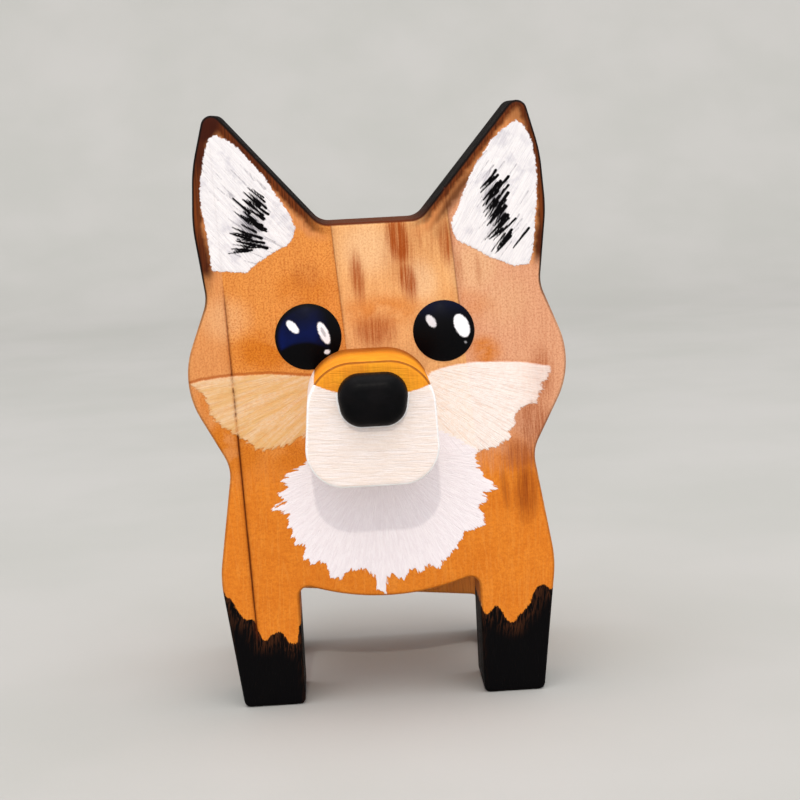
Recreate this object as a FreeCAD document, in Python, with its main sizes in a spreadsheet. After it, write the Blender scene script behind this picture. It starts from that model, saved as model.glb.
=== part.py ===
"""Eyeglasses stand in the shape of a standing fox, as a parametric document.

Millimetres.  +Z is up, the fox faces -Y and +X is its left, on the right of
somebody who looks it in the face.  The origin is the centre of the footprint
of the whole stand, on the surface that its four feet stand on.

A front board, edge-glued from four staves, is sawn to the fox's outline.  A
block behind its body carries a hind board of three staves, which has the two
hind legs.  The snout block, on which the bridge of the glasses rests, stands
out of the face and is held by two screws from behind.
"""

import FreeCAD, Part
import os
import Sketcher

Vector = FreeCAD.Vector

SIZES = {
    # front board
    "front_thickness": 20.0,
    "edge_round": 1.0,
    # corners of the front board's outline, right-hand half, each with its radius
    "crown_x": 12.6, "crown_z": 125.8, "crown_round": 5.0,
    "ear_tip_x": 39.7, "ear_tip_z": 157.3, "ear_tip_round": 2.7,
    "ear_side_x": 44.0, "ear_side_z": 141.2, "ear_side_round": 40.0,
    "ear_root_x": 44.9, "ear_root_z": 127.0, "ear_root_round": 40.0,
    "temple_x": 42.6, "temple_z": 107.8, "temple_round": 10.0,
    "cheek_x": 50.8, "cheek_z": 86.7, "cheek_round": 22.5,
    "neck_x": 39.2, "neck_z": 64.4, "neck_round": 10.0,
    "flank_x": 43.9, "flank_z": 35.0, "flank_round": 30.0,
    "foot_out_x": 39.7, "foot_out_round": 1.8,
    "foot_in_x": 23.7, "foot_in_round": 1.5,
    "arch_x": 23.7, "arch_z": 32.6, "arch_round": 2.5,
    "belly_z": 25.0, "belly_round": 61.0,
    # seams between the four staves: x at the top and at the foot of the strips
    "strip_top": 162.0, "strip_foot": -4.0, "strip_side": 60.0,
    "seam_one_top": -39.6, "seam_one_foot": -34.6,
    "seam_two_top": -12.5, "seam_two_foot": -0.9,
    "seam_three_top": 17.1, "seam_three_foot": 30.1,
    "seam_ease": 0.5,
    # body block between the two boards
    "block_depth": 24.0, "block_width": 60.0,
    "block_low": 36.0, "block_high": 66.0, "block_chamfer": 1.0,
    # hind board
    "hind_thickness": 16.0, "hind_edge_round": 1.2,
    "rump_x": 36.5, "rump_z": 70.0, "rump_round": 22.0,
    "haunch_x": 38.6, "haunch_z": 34.0, "haunch_round": 30.0,
    "hind_out_x": 36.0, "hind_out_round": 1.8,
    "hind_in_x": 27.0, "hind_in_round": 1.8,
    "hind_arch_x": 27.0, "hind_arch_round": 3.0,
    "hind_arch_z": 14.6, "hind_arch_left_z": 20.0,
    "hind_seam": 14.5,
    # snout block
    "snout_reach": 26.0, "snout_front_round": 1.0,
    "snout_top": 93.7, "snout_low": 62.7,
    "snout_top_left": -17.4, "snout_top_right": 12.8, "snout_top_round": 11.5,
    "snout_low_left": -20.2, "snout_low_right": 13.9, "snout_low_round": 9.5,
    # nose and its peg
    "nose_x": -2.2, "nose_z": 84.5, "nose_proud": 5.0, "nose_front_round": 3.4,
    "nose_half_height": 6.5, "nose_half_top": 9.4, "nose_half_low": 7.4, "nose_round": 5.4,
    "peg_radius": 2.5, "peg_length": 12.0, "peg_in_nose": 3.0,
    # eyes: domed discs let into shallow seats
    "eye_seat": 1.0, "eye_proud": 2.0, "eye_relief": 0.4,
    "left_eye_x": -17.3, "left_eye_z": 97.4, "left_eye_radius": 8.5,
    "right_eye_x": 17.4, "right_eye_z": 97.0, "right_eye_radius": 7.9,
    # dowels between the front board and the block
    "dowel_radius": 4.0, "dowel_length": 24.0, "dowel_in_board": 12.0,
    "dowel_x": 18.0, "dowel_z": 44.0, "dowel_chamfer": 0.8,
    # countersunk wood screws
    "screw_head_radius": 4.0, "screw_head_depth": 2.2, "screw_radius": 2.0,
    "screw_length": 35.0, "screw_tip": 5.0, "screw_tip_radius": 0.3,
    "cross_width": 1.0, "cross_span": 4.4, "cross_depth": 1.5,
    "snout_screw_left": -12.0, "snout_screw_right": 6.0, "snout_screw_z": 78.0,
    "hind_screw_x": 22.0, "hind_screw_z": 58.0,
}

# the box of the whole stand is centred on the origin, from nose tip to hind board
FRONT_FACE = ("(Sizes.snout_reach + Sizes.nose_proud - Sizes.front_thickness"
              " - Sizes.block_depth - Sizes.hind_thickness) / 2")
BLOCK_FRONT = f"{FRONT_FACE} + Sizes.front_thickness"
HIND_FRONT = f"{BLOCK_FRONT} + Sizes.block_depth"
HIND_BACK = f"{HIND_FRONT} + Sizes.hind_thickness"
SNOUT_FRONT = f"{FRONT_FACE} - Sizes.snout_reach"

FACING_BACK = FreeCAD.Rotation(Vector(1, 0, 0), -90)
FACING_FRONT = FreeCAD.Rotation(Vector(1, 0, 0), 90)

doc = FreeCAD.newDocument("fox_stand")
sheet = doc.addObject("Spreadsheet::Sheet", "Sizes")
for row, (alias, value) in enumerate(SIZES.items(), start=1):
    sheet.set(f"A{row}", alias)
    sheet.set(f"B{row}", str(value))
    sheet.setAlias(f"B{row}", alias)
doc.recompute()

sub_parts = []


def number(expression):
    """The present value of an expression over the sheet."""
    return float(sheet.evalExpression(expression.replace("Sizes.", "")))


def bind(item, **expressions):
    """Tie properties to the sheet; x, y and z stand for the placement's base."""
    for name, expression in expressions.items():
        target = f"Placement.Base.{name}" if name in ("x", "y", "z") else name
        item.setExpression(target, expression)
    return item


def named(item, label):
    """Give a sub-part its label and put it on the list of files to write."""
    item.Label = label
    sub_parts.append(item)
    return item


def origin_plane(body, role):
    """The body's own origin plane that has this role."""
    return next(plane for plane in body.Origin.OriginFeatures if plane.Role == role)


def polygon_sketch(body, name, role, corners):
    """A closed polygon on one of the body's planes, each corner tied to the sheet."""
    sketch = body.newObject("Sketcher::SketchObject", name)
    sketch.AttachmentSupport = [(origin_plane(body, role), "")]
    sketch.MapMode = "FlatFace"
    points = [Vector(number(across), number(up), 0) for across, up in corners]
    for index, start in enumerate(points):
        end = points[(index + 1) % len(points)]
        sketch.addGeometry(Part.LineSegment(start, end), False)
    for index in range(len(points)):
        following = (index + 1) % len(points)
        sketch.addConstraint(Sketcher.Constraint("Coincident", index, 2, following, 1))
    for index, (across, up) in enumerate(corners):
        for kind, expression in (("DistanceX", across), ("DistanceY", up)):
            size = Sketcher.Constraint(kind, -1, 1, index, 1, number(expression))
            place = sketch.addConstraint(size)
            sketch.setExpression(f"Constraints[{place}]", expression)
    return sketch


def padded_board(name, corners, thickness):
    """A body: the polygon on the XZ plane, padded towards +Y."""
    body = doc.addObject("PartDesign::Body", name)
    sketch = polygon_sketch(body, f"{name}_outline", "XZ_Plane", corners)
    pad = body.newObject("PartDesign::Pad", f"{name}_pad")
    pad.Profile = sketch
    pad.Reversed = True
    bind(pad, Length=thickness)
    doc.recompute()
    return body


def edges_across(body, across, up):
    """Names of the edges that run along Y at this place in the XZ plane."""
    found = []
    for index, edge in enumerate(body.Shape.Edges, start=1):
        ends = [vertex.Point for vertex in edge.Vertexes]
        if len(ends) == 2 and all(abs(p.x - across) + abs(p.z - up) < 1e-4 for p in ends):
            found.append(f"Edge{index}")
    return found


def round_corner(body, name, places, radius):
    """Round the corners of a padded polygon that stand at these places."""
    edges = []
    for across, up in places:
        edges += edges_across(body, number(across), number(up))
    assert len(edges) == len(places), f"{name}: {len(edges)} edges for {len(places)} corners"
    tip = body.Tip
    fillet = body.newObject("PartDesign::Fillet", name)
    fillet.Base = (tip, edges)
    bind(fillet, Radius=radius)
    doc.recompute()


def flat_faces_at(body, depths):
    """Names of the body's flat faces that lie at these values of Y."""
    names = []
    for index, face in enumerate(body.Shape.Faces, start=1):
        box = face.BoundBox
        flat = box.YLength < 1e-6
        if flat and any(abs(box.YMin - depth) < 1e-6 for depth in depths):
            names.append(f"Face{index}")
    return names


def round_faces(body, name, depths, radius):
    """Break every edge of the flat faces at these values of Y."""
    start = body.Placement.Base.y
    faces = flat_faces_at(body, [start + depth for depth in depths])
    tip = body.Tip
    fillet = body.newObject("PartDesign::Fillet", name)
    fillet.Base = (tip, faces)
    bind(fillet, Radius=radius)
    doc.recompute()


def sawn_board(name, corners, thickness, edge_round, left_heights=()):
    """A board sawn to a mirrored outline, its corners rounded and edges broken.

    corners lists the right-hand half from the top to the foot and back up
    under the belly, as (x, z, radius) names of the sheet, or zero.
    left_heights pairs a height's name with the one its left-hand twin has.
    """
    twins = dict(left_heights)
    right = [(f"Sizes.{x}" if x else "0", f"Sizes.{z}" if z else "0") for x, z, _ in corners]
    left = [(f"-Sizes.{x}", f"Sizes.{twins.get(z, z)}" if z else "0")
            for x, z, _ in reversed(corners) if x]
    body = padded_board(name, right + left, thickness)
    for corner, place in zip(corners, right):
        x, z, radius = corner
        places = [place]
        if x:
            places.append((f"-Sizes.{x}", f"Sizes.{twins.get(z, z)}" if z else "0"))
        round_corner(body, f"{name}_{radius}", places, f"Sizes.{radius}")
    round_faces(body, f"{name}_edges", (0, number(thickness)), edge_round)
    return body


def cut(base, tools, name):
    """Cut each tool from the base in turn, and check that each removes wood."""
    for index, tool in enumerate(tools, start=1):
        result = doc.addObject("Part::Cut", f"{name}_cut_{index}")
        result.Base = base
        result.Tool = tool
        doc.recompute()
        lost = base.Shape.Volume - result.Shape.Volume
        assert lost > 0.5, f"{name}: {tool.Name} cuts nothing"
        base = result
    return base


def cylinder(name, radius, length, rotation, **place):
    """A cylinder tied to the sheet, turned to run along Y."""
    item = doc.addObject("Part::Cylinder", name)
    item.Placement = FreeCAD.Placement(Vector(), rotation)
    return bind(item, Radius=radius, Height=length, **place)


# ---------------------------------------------------------------- front board

FRONT_CORNERS = [
    ("crown_x", "crown_z", "crown_round"),
    ("ear_tip_x", "ear_tip_z", "ear_tip_round"),
    ("ear_side_x", "ear_side_z", "ear_side_round"),
    ("ear_root_x", "ear_root_z", "ear_root_round"),
    ("temple_x", "temple_z", "temple_round"),
    ("cheek_x", "cheek_z", "cheek_round"),
    ("neck_x", "neck_z", "neck_round"),
    ("flank_x", "flank_z", "flank_round"),
    ("foot_out_x", None, "foot_out_round"),
    ("foot_in_x", None, "foot_in_round"),
    ("arch_x", "arch_z", "arch_round"),
    (None, "belly_z", "belly_round"),
]

front_blank = sawn_board("front_blank", FRONT_CORNERS, "Sizes.front_thickness", "Sizes.edge_round")
bind(front_blank, y=FRONT_FACE)
doc.recompute()


def stave_strip(name, left, right, thickness, face):
    """The strip of the glued-up panel between two seams, taller than the board."""
    top, foot = "Sizes.strip_top", "Sizes.strip_foot"
    corners = [(left[0], top), (right[0], top), (right[1], foot), (left[1], foot)]
    strip = padded_board(name, corners, thickness)
    bind(strip, y=face)
    doc.recompute()
    return strip


def ease_seam(strip, seam):
    """Plane a small chamfer along the front edge of one seam of a strip."""
    top_x = number(seam[0])
    front = strip.Placement.Base.y
    for index, edge in enumerate(strip.Shape.Edges, start=1):
        ends = [vertex.Point for vertex in edge.Vertexes]
        upper = max(ends, key=lambda point: point.z)
        at_front = all(abs(point.y - front) < 1e-6 for point in ends)
        if at_front and edge.BoundBox.ZLength > 1 and abs(upper.x - top_x) < 1e-4:
            tip = strip.Tip
            chamfer = strip.newObject("PartDesign::Chamfer", f"{strip.Name}_ease")
            chamfer.Base = (tip, [f"Edge{index}"])
            bind(chamfer, Size="Sizes.seam_ease")
            doc.recompute()
            return
    raise RuntimeError(f"{strip.Name} has no edge on the seam")


def stave(board, strip, name):
    """One stave of a board: the sawn board within the stave's strip."""
    piece = doc.addObject("Part::Common", f"{name}_sawn")
    piece.Base = board
    piece.Tool = strip
    doc.recompute()
    return piece


def seam_line(word):
    """The two expressions of a leaning seam, at the top and at the foot."""
    return f"Sizes.seam_{word}_top", f"Sizes.seam_{word}_foot"


def side_line(sign):
    """The outer limit of the first or last strip, clear of the board."""
    return f"{sign}Sizes.strip_side", f"{sign}Sizes.strip_side"


front_lines = [side_line("-"), seam_line("one"), seam_line("two"), seam_line("three"), side_line("")]
front_staves = []
for count in range(1, 5):
    strip = stave_strip(f"front_strip_{count}", front_lines[count - 1], front_lines[count],
                        "Sizes.front_thickness", FRONT_FACE)
    if count in (1, 2):
        ease_seam(strip, seam_line("one"))
    front_staves.append(stave(front_blank, strip, f"front_board_stave_{count}"))

# ----------------------------------------------------------------- hind board

HIND_CORNERS = [
    ("rump_x", "rump_z", "rump_round"),
    ("haunch_x", "haunch_z", "haunch_round"),
    ("hind_out_x", None, "hind_out_round"),
    ("hind_in_x", None, "hind_in_round"),
    ("hind_arch_x", "hind_arch_z", "hind_arch_round"),
]

# the lower edge of the hind board is sawn straight and a little askew
hind_blank = sawn_board("hind_blank", HIND_CORNERS, "Sizes.hind_thickness", "Sizes.hind_edge_round",
                        left_heights=[("hind_arch_z", "hind_arch_left_z")])
bind(hind_blank, y=HIND_FRONT)
doc.recompute()

hind_lines = [side_line("-"), ("-Sizes.hind_seam",) * 2, ("Sizes.hind_seam",) * 2, side_line("")]
hind_staves = []
for count in range(1, 4):
    strip = stave_strip(f"hind_strip_{count}", hind_lines[count - 1], hind_lines[count],
                        "Sizes.hind_thickness", HIND_FRONT)
    hind_staves.append(stave(hind_blank, strip, f"hind_board_stave_{count}"))

# ----------------------------------------------------------------- body block

half_width = "Sizes.block_width / 2"
block_corners = [(f"-{half_width}", "Sizes.block_low"), (half_width, "Sizes.block_low"),
                 (half_width, "Sizes.block_high"), (f"-{half_width}", "Sizes.block_high")]
block = padded_board("block_blank", block_corners, "Sizes.block_depth")
block_edges = [edge for across, up in block_corners
               for edge in edges_across(block, number(across), number(up))]
block_pad = block.Tip
block_chamfer = block.newObject("PartDesign::Chamfer", "block_chamfer")
block_chamfer.Base = (block_pad, block_edges)
bind(block_chamfer, Size="Sizes.block_chamfer")
bind(block, y=BLOCK_FRONT)

# ---------------------------------------------------------------------- snout

snout_corners = [("Sizes.snout_top_left", "Sizes.snout_top"),
                 ("Sizes.snout_top_right", "Sizes.snout_top"),
                 ("Sizes.snout_low_right", "Sizes.snout_low"),
                 ("Sizes.snout_low_left", "Sizes.snout_low")]
snout = padded_board("snout_blank", snout_corners, "Sizes.snout_reach")
round_corner(snout, "snout_top_corners", snout_corners[:2], "Sizes.snout_top_round")
round_corner(snout, "snout_low_corners", snout_corners[2:], "Sizes.snout_low_round")
round_faces(snout, "snout_front_edge", (0,), "Sizes.snout_front_round")
bind(snout, y=SNOUT_FRONT)

# ------------------------------------------------------------------- the nose

nose_corners = [("-Sizes.nose_half_top", "Sizes.nose_half_height"),
                ("Sizes.nose_half_top", "Sizes.nose_half_height"),
                ("Sizes.nose_half_low", "-Sizes.nose_half_height"),
                ("-Sizes.nose_half_low", "-Sizes.nose_half_height")]
nose = padded_board("nose_blank", nose_corners, "Sizes.nose_proud")
round_corner(nose, "nose_corners", nose_corners, "Sizes.nose_round")
round_faces(nose, "nose_front_edge", (0,), "Sizes.nose_front_round")
bind(nose, x="Sizes.nose_x", y=f"{SNOUT_FRONT} - Sizes.nose_proud", z="Sizes.nose_z")

# ----------------------------------------------------------------------- eyes


def domed_eye(name, side):
    """A disc of the seat's depth with a domed front, turned about its axis."""
    radius = f"Sizes.{side}_eye_radius"
    body = doc.addObject("PartDesign::Body", name)
    sketch = body.newObject("Sketcher::SketchObject", f"{name}_profile")
    sketch.AttachmentSupport = [(origin_plane(body, "XZ_Plane"), "")]
    sketch.MapMode = "FlatFace"
    wide, seat, proud = number(radius), number("Sizes.eye_seat"), number("Sizes.eye_proud")
    corners = [Vector(0, -seat, 0), Vector(wide, -seat, 0), Vector(wide, 0, 0), Vector(0, proud, 0)]
    for start, end in zip(corners[:2], corners[1:3]):
        sketch.addGeometry(Part.LineSegment(start, end), False)
    sphere_radius = (wide ** 2 + proud ** 2) / (2 * proud)
    middle = Vector(wide / 2, proud - sphere_radius
                    + (sphere_radius ** 2 - wide ** 2 / 4) ** 0.5, 0)
    sketch.addGeometry(Part.Arc(corners[2], middle, corners[3]), False)
    sketch.addGeometry(Part.LineSegment(corners[3], corners[0]), False)
    arc_start, arc_end = (1, 2) if sketch.getPoint(2, 1).distanceToPoint(corners[2]) < 1e-6 else (2, 1)
    joins = [(0, 2, 1, 1), (1, 2, 2, arc_start), (2, arc_end, 3, 1), (3, 2, 0, 1)]
    for join in joins:
        sketch.addConstraint(Sketcher.Constraint("Coincident", *join))
    sketch.addConstraint(Sketcher.Constraint("Vertical", 3))
    sketch.addConstraint(Sketcher.Constraint("PointOnObject", 2, 3, -2))
    sizes = [(0, 1, "DistanceX", "0"), (0, 1, "DistanceY", "-Sizes.eye_seat"),
             (1, 1, "DistanceX", radius), (1, 1, "DistanceY", "-Sizes.eye_seat"),
             (1, 2, "DistanceX", radius), (1, 2, "DistanceY", "0"),
             (3, 1, "DistanceY", "Sizes.eye_proud")]
    for geometry, end, kind, expression in sizes:
        size = Sketcher.Constraint(kind, -1, 1, geometry, end, number(expression))
        place = sketch.addConstraint(size)
        if "Sizes" in expression:
            sketch.setExpression(f"Constraints[{place}]", expression)
    turned = body.newObject("PartDesign::Revolution", f"{name}_turned")
    turned.Profile = sketch
    turned.ReferenceAxis = (sketch, ["V_Axis"])
    turned.Angle = 360.0
    body.Placement = FreeCAD.Placement(Vector(), FACING_FRONT)
    bind(body, x=f"Sizes.{side}_eye_x", y=FRONT_FACE, z=f"Sizes.{side}_eye_z")
    doc.recompute()
    return body


def eye_seat(side, extra="0"):
    """The round recess of an eye, or with extra the clearance round its dome."""
    start = f"{FRONT_FACE} - Sizes.eye_proud - Sizes.eye_relief"
    length = "Sizes.eye_seat + Sizes.eye_proud + Sizes.eye_relief"
    return cylinder(f"{side}_eye_seat_{'relief' if extra != '0' else 'bore'}",
                    f"Sizes.{side}_eye_radius + {extra}", length, FACING_BACK,
                    x=f"Sizes.{side}_eye_x", y=start, z=f"Sizes.{side}_eye_z")


named(domed_eye("left_eye", "left"), "eye_left")
named(domed_eye("right_eye", "right"), "eye_right")

# ------------------------------------------------------------- dowels and peg


def dowel_hole(sign, name):
    """The bore of a dowel, half in the front board and half in the block."""
    return cylinder(name, "Sizes.dowel_radius", "Sizes.dowel_length", FACING_BACK,
                    x=f"{sign}Sizes.dowel_x", y=f"{BLOCK_FRONT} - Sizes.dowel_in_board",
                    z="Sizes.dowel_z")


def chamfered_dowel(core, name):
    """A dowel with both ends chamfered, where its core cylinder lies."""
    dowel = doc.addObject("Part::Chamfer", name)
    dowel.Base = core
    size = number("Sizes.dowel_chamfer")
    dowel.Edges = [(1, size, size), (3, size, size)]
    doc.recompute()
    return dowel


dowel_bores = {side: dowel_hole(sign, f"dowel_bore_{side}") for side, sign in (("left", "-"), ("right", ""))}
for side, sign in (("left", "-"), ("right", "")):
    named(chamfered_dowel(dowel_hole(sign, f"dowel_core_{side}"), f"dowel_{side}"), f"front_dowel_{side}")


def peg(name):
    """The peg that runs from the snout block into the back of the nose."""
    return cylinder(name, "Sizes.peg_radius", "Sizes.peg_length", FACING_BACK,
                    x="Sizes.nose_x", y=f"{SNOUT_FRONT} - Sizes.peg_in_nose", z="Sizes.nose_z")


peg_bore = peg("peg_bore")
named(peg("peg"), "nose_peg")

# --------------------------------------------------------------------- screws


def screw_form(name, across, face, up):
    """Head, shank and point of a countersunk screw, its head flush with a face at +Y."""
    head = doc.addObject("Part::Cone", f"{name}_head")
    bind(head, Radius1="Sizes.screw_radius", Radius2="Sizes.screw_head_radius",
         Height="Sizes.screw_head_depth", z="-Sizes.screw_head_depth")
    shank = doc.addObject("Part::Cylinder", f"{name}_shank")
    bind(shank, Radius="Sizes.screw_radius", z="Sizes.screw_tip - Sizes.screw_length",
         Height="Sizes.screw_length - Sizes.screw_tip - Sizes.screw_head_depth")
    point = doc.addObject("Part::Cone", f"{name}_point")
    bind(point, Radius1="Sizes.screw_tip_radius", Radius2="Sizes.screw_radius",
         Height="Sizes.screw_tip", z="-Sizes.screw_length")
    form = doc.addObject("Part::MultiFuse", f"{name}_form")
    form.Shapes = [head, shank, point]
    form.Placement = FreeCAD.Placement(Vector(), FACING_BACK)
    bind(form, x=across, y=face, z=up)
    doc.recompute()
    return form


def cross_bar(name, along, across, face, up):
    """One bar of the cross recess in a screw's head, long in X or in Z."""
    bar = doc.addObject("Part::Box", name)
    size = {"x": "Sizes.cross_width", "z": "Sizes.cross_width"}
    size[along] = "Sizes.cross_span"
    bind(bar, Length=size["x"], Width="Sizes.cross_depth", Height=size["z"],
         x=f"{across} - ({size['x']}) / 2", y=f"{face} - Sizes.cross_depth",
         z=f"{up} - ({size['z']}) / 2")
    return bar


screws = {
    "snout_screw_left": ("Sizes.snout_screw_left", BLOCK_FRONT, "Sizes.snout_screw_z"),
    "snout_screw_right": ("Sizes.snout_screw_right", BLOCK_FRONT, "Sizes.snout_screw_z"),
    "hind_screw_left": ("-Sizes.hind_screw_x", HIND_BACK, "Sizes.hind_screw_z"),
    "hind_screw_right": ("Sizes.hind_screw_x", HIND_BACK, "Sizes.hind_screw_z"),
}
screw_bores = {}
for name, place in screws.items():
    screw_bores[name] = screw_form(f"{name}_bore", *place)
    bars = [cross_bar(f"{name}_bar_{along}", along, *place) for along in ("x", "z")]
    named(cut(screw_form(name, *place), bars, name), name)

# ---------------------------------------------------- bores in the wooden parts

left_seat = eye_seat("left")
right_seat = eye_seat("right")
stave_bores = [
    [],
    [dowel_bores["left"], screw_bores["snout_screw_left"], left_seat],
    [dowel_bores["right"], screw_bores["snout_screw_right"], right_seat],
    [right_seat],
]
for count, (piece, bores) in enumerate(zip(front_staves, stave_bores), start=1):
    label = f"front_board_stave_{count}"
    named(cut(piece, bores, label), label)

hind_bores = [[screw_bores["hind_screw_left"]], [], [screw_bores["hind_screw_right"]]]
for count, (piece, bores) in enumerate(zip(hind_staves, hind_bores), start=1):
    label = f"hind_board_stave_{count}"
    named(cut(piece, bores, label), label)

block_bores = [*dowel_bores.values(), screw_bores["hind_screw_left"], screw_bores["hind_screw_right"]]
named(cut(block, block_bores, "body_block"), "body_block")

snout_bores = [screw_bores["snout_screw_left"], screw_bores["snout_screw_right"], peg_bore,
               eye_seat("left", "Sizes.eye_relief")]
named(cut(snout, snout_bores, "snout_block"), "snout_block")
named(cut(nose, [peg_bore], "nose"), "nose")

# ------------------------------------------------------------ checks and files

doc.recompute()
for item in doc.Objects:
    assert not {"Invalid", "Error"} & set(item.State), f"{item.Name} is {item.State}"

whole = FreeCAD.BoundBox()
for item in sub_parts:
    shape = item.Shape
    assert not shape.isNull() and shape.isValid(), f"{item.Label} has no valid shape"
    assert len(shape.Solids) == 1, f"{item.Label} has {len(shape.Solids)} solids"
    whole.add(shape.BoundBox)

os.makedirs("parts", exist_ok=True)
for item in sub_parts:
    item.Shape.exportStep(f"parts/{item.Label}.step")
    box = item.Shape.BoundBox
    print(f"{item.Label:22s} {item.Shape.Volume / 1000:8.2f} cm3"
          f"   x {box.XMin:7.2f} {box.XMax:7.2f}   y {box.YMin:7.2f} {box.YMax:7.2f}"
          f"   z {box.ZMin:7.2f} {box.ZMax:7.2f}")
print(f"{len(sub_parts)} parts, {whole.XLength:.2f} x {whole.YLength:.2f} x {whole.ZLength:.2f} mm,"
      f" centre {whole.Center.x:.2f}, {whole.Center.y:.2f}, lowest {whole.ZMin:.2f}")
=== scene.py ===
# %% [markdown]
# # A painted fox that holds a pair of glasses
#
# The real thing is joinery first and painting second: two boards glued up from narrow staves, a block
# between them, a thick muzzle that carries the bridge of the glasses, and then acrylic paint laid
# on with a brush. This lesson keeps that order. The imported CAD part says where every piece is, numpy works
# out finer surfaces in the same places, and node materials do the painting.

from math import cos, radians, sin
from types import SimpleNamespace

import bpy
import numpy as np
from mathutils import Matrix, Vector
from mathutils.geometry import delaunay_2d_cdt


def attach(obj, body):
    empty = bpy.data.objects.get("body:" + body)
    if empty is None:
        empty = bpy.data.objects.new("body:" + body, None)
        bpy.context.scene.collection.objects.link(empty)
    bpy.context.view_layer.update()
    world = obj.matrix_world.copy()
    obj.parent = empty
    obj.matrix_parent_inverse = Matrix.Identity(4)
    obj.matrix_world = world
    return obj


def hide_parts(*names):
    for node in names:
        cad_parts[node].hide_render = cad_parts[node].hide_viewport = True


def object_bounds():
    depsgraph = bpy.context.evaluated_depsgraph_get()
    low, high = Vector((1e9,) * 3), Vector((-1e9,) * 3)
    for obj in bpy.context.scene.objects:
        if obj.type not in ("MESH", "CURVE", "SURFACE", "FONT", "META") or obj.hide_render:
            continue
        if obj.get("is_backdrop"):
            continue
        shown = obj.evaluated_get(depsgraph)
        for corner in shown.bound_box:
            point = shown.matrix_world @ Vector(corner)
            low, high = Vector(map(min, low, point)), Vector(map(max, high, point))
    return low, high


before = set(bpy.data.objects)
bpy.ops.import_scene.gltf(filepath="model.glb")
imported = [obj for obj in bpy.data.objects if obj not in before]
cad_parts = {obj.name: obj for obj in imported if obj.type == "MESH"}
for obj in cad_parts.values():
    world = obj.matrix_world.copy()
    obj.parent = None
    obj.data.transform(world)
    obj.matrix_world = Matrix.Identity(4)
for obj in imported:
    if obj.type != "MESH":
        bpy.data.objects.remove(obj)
cad_low, cad_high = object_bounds()
print("packed nodes:", len(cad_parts), "box in mm:", [round(1000 * s) for s in cad_high - cad_low])

# %% [markdown]
# ## The outline of a sawn board
#
# A bandsawn fox is one closed line. It could be drawn as a spline, but the maker's pattern is a few
# corners, each eased by a known radius, so that is how it is written here: an x, a height and a radius in
# millimetres. Only the right half is listed, and the left half is its mirror.

# %% Corners, mirrored and rounded
STEP = 0.6  # spacing of the points along an outline
ROW_RISE = 0.866  # rows of a triangular grid are this much of its pitch apart
GAP = 0.35  # how near a row may come to an outline, as a share of its pitch


def mirrored(half):
    """The whole pattern from its right half: the same corners again in reverse with x turned over."""
    left = [(-x, z, r) for x, z, r in reversed(half) if x]
    return np.array(half + left, float)


def unit(rows):
    """Each row divided by its own length."""
    return rows / np.linalg.norm(rows, axis=-1, keepdims=True)


def spaced(loop, step=STEP):
    """A closed loop with every side cut into equal runs no longer than the step."""
    sides = np.roll(loop, -1, 0) - loop
    runs = np.maximum(np.ceil(np.linalg.norm(sides, axis=1) / step).astype(int), 1)
    which = np.repeat(np.arange(len(loop)), runs)
    along = (np.arange(runs.sum()) - np.repeat(np.cumsum(runs) - runs, runs)) / runs[which]
    return loop[which] + along[:, None] * sides[which]


def rounded(corners, step=STEP):
    """A closed loop through rounded corners. An arc of radius r that touches both sides of a corner starts
    r * tan(half the turn) before it, and its centre is r / cos(half the turn) along the bisector."""
    corners = np.asarray(corners, float)
    place, radius = corners[:, :2], corners[:, 2]
    back = unit(np.roll(place, 1, 0) - place)
    ahead = unit(np.roll(place, -1, 0) - place)
    half_turn = (np.pi - np.arccos(np.clip((back * ahead).sum(1), -1, 1))) / 2
    reach = (radius * np.tan(half_turn))[:, None]
    centre = place + unit(back + ahead) * (radius / np.cos(half_turn))[:, None]
    first, last = place + back * reach - centre, place + ahead * reach - centre
    start = np.arctan2(first[:, 1], first[:, 0])
    sweep = np.arctan2(last[:, 1], last[:, 0]) - start
    sweep = (sweep + np.pi) % (2 * np.pi) - np.pi
    points = []
    for middle, r, begin, turn in zip(centre, radius, start, sweep):
        count = max(int(np.ceil(abs(turn) * r / step)), 4)
        angle = begin + turn * np.linspace(0, 1, count + 1)
        points.append(middle + r * np.column_stack([np.cos(angle), np.sin(angle)]))
    loop = np.vstack(points)
    area = (loop[:, 0] * np.roll(loop[:, 1], -1) - loop[:, 1] * np.roll(loop[:, 0], -1)).sum()
    return spaced(loop if area > 0 else loop[::-1], step)


FRONT_HALF = [
    (12.6, 125.8, 5.0), (39.7, 157.3, 2.7), (44.0, 141.2, 40.0), (44.9, 127.0, 40.0), (42.6, 107.8, 10.0),
    (50.8, 86.7, 22.5), (39.2, 64.4, 10.0), (43.9, 35.0, 30.0), (39.7, 0.0, 1.8), (23.7, 0.0, 1.5),
    (23.7, 32.6, 2.5), (0.0, 25.0, 61.0),
]
HIND_HALF = [
    (36.5, 70.0, 22.0), (38.6, 34.0, 30.0), (36.0, 0.0, 1.8), (27.0, 0.0, 1.8), (27.0, 14.6, 3.0),
]
front_loop = rounded(mirrored(FRONT_HALF))
hind_corners = mirrored(HIND_HALF)
hind_corners[len(HIND_HALF), 1] = 20.0  # the lower edge is sawn askew, higher on the left
hind_loop = rounded(hind_corners)
print("front outline:", len(front_loop), "points,", np.ptp(front_loop, 0).round(1), "mm")
print("hind outline:", len(hind_loop), "points,", np.ptp(hind_loop, 0).round(1), "mm")

# %% [markdown]
# ## How far is it to the edge?
#
# Nearly everything on this object is a question of distance: the edge is broken over the last millimetre,
# the ears have a dark border so many millimetres wide, the white bib ends where its tufts end. A signed
# distance answers all of them, positive inside a closed line and negative outside it.

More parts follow.
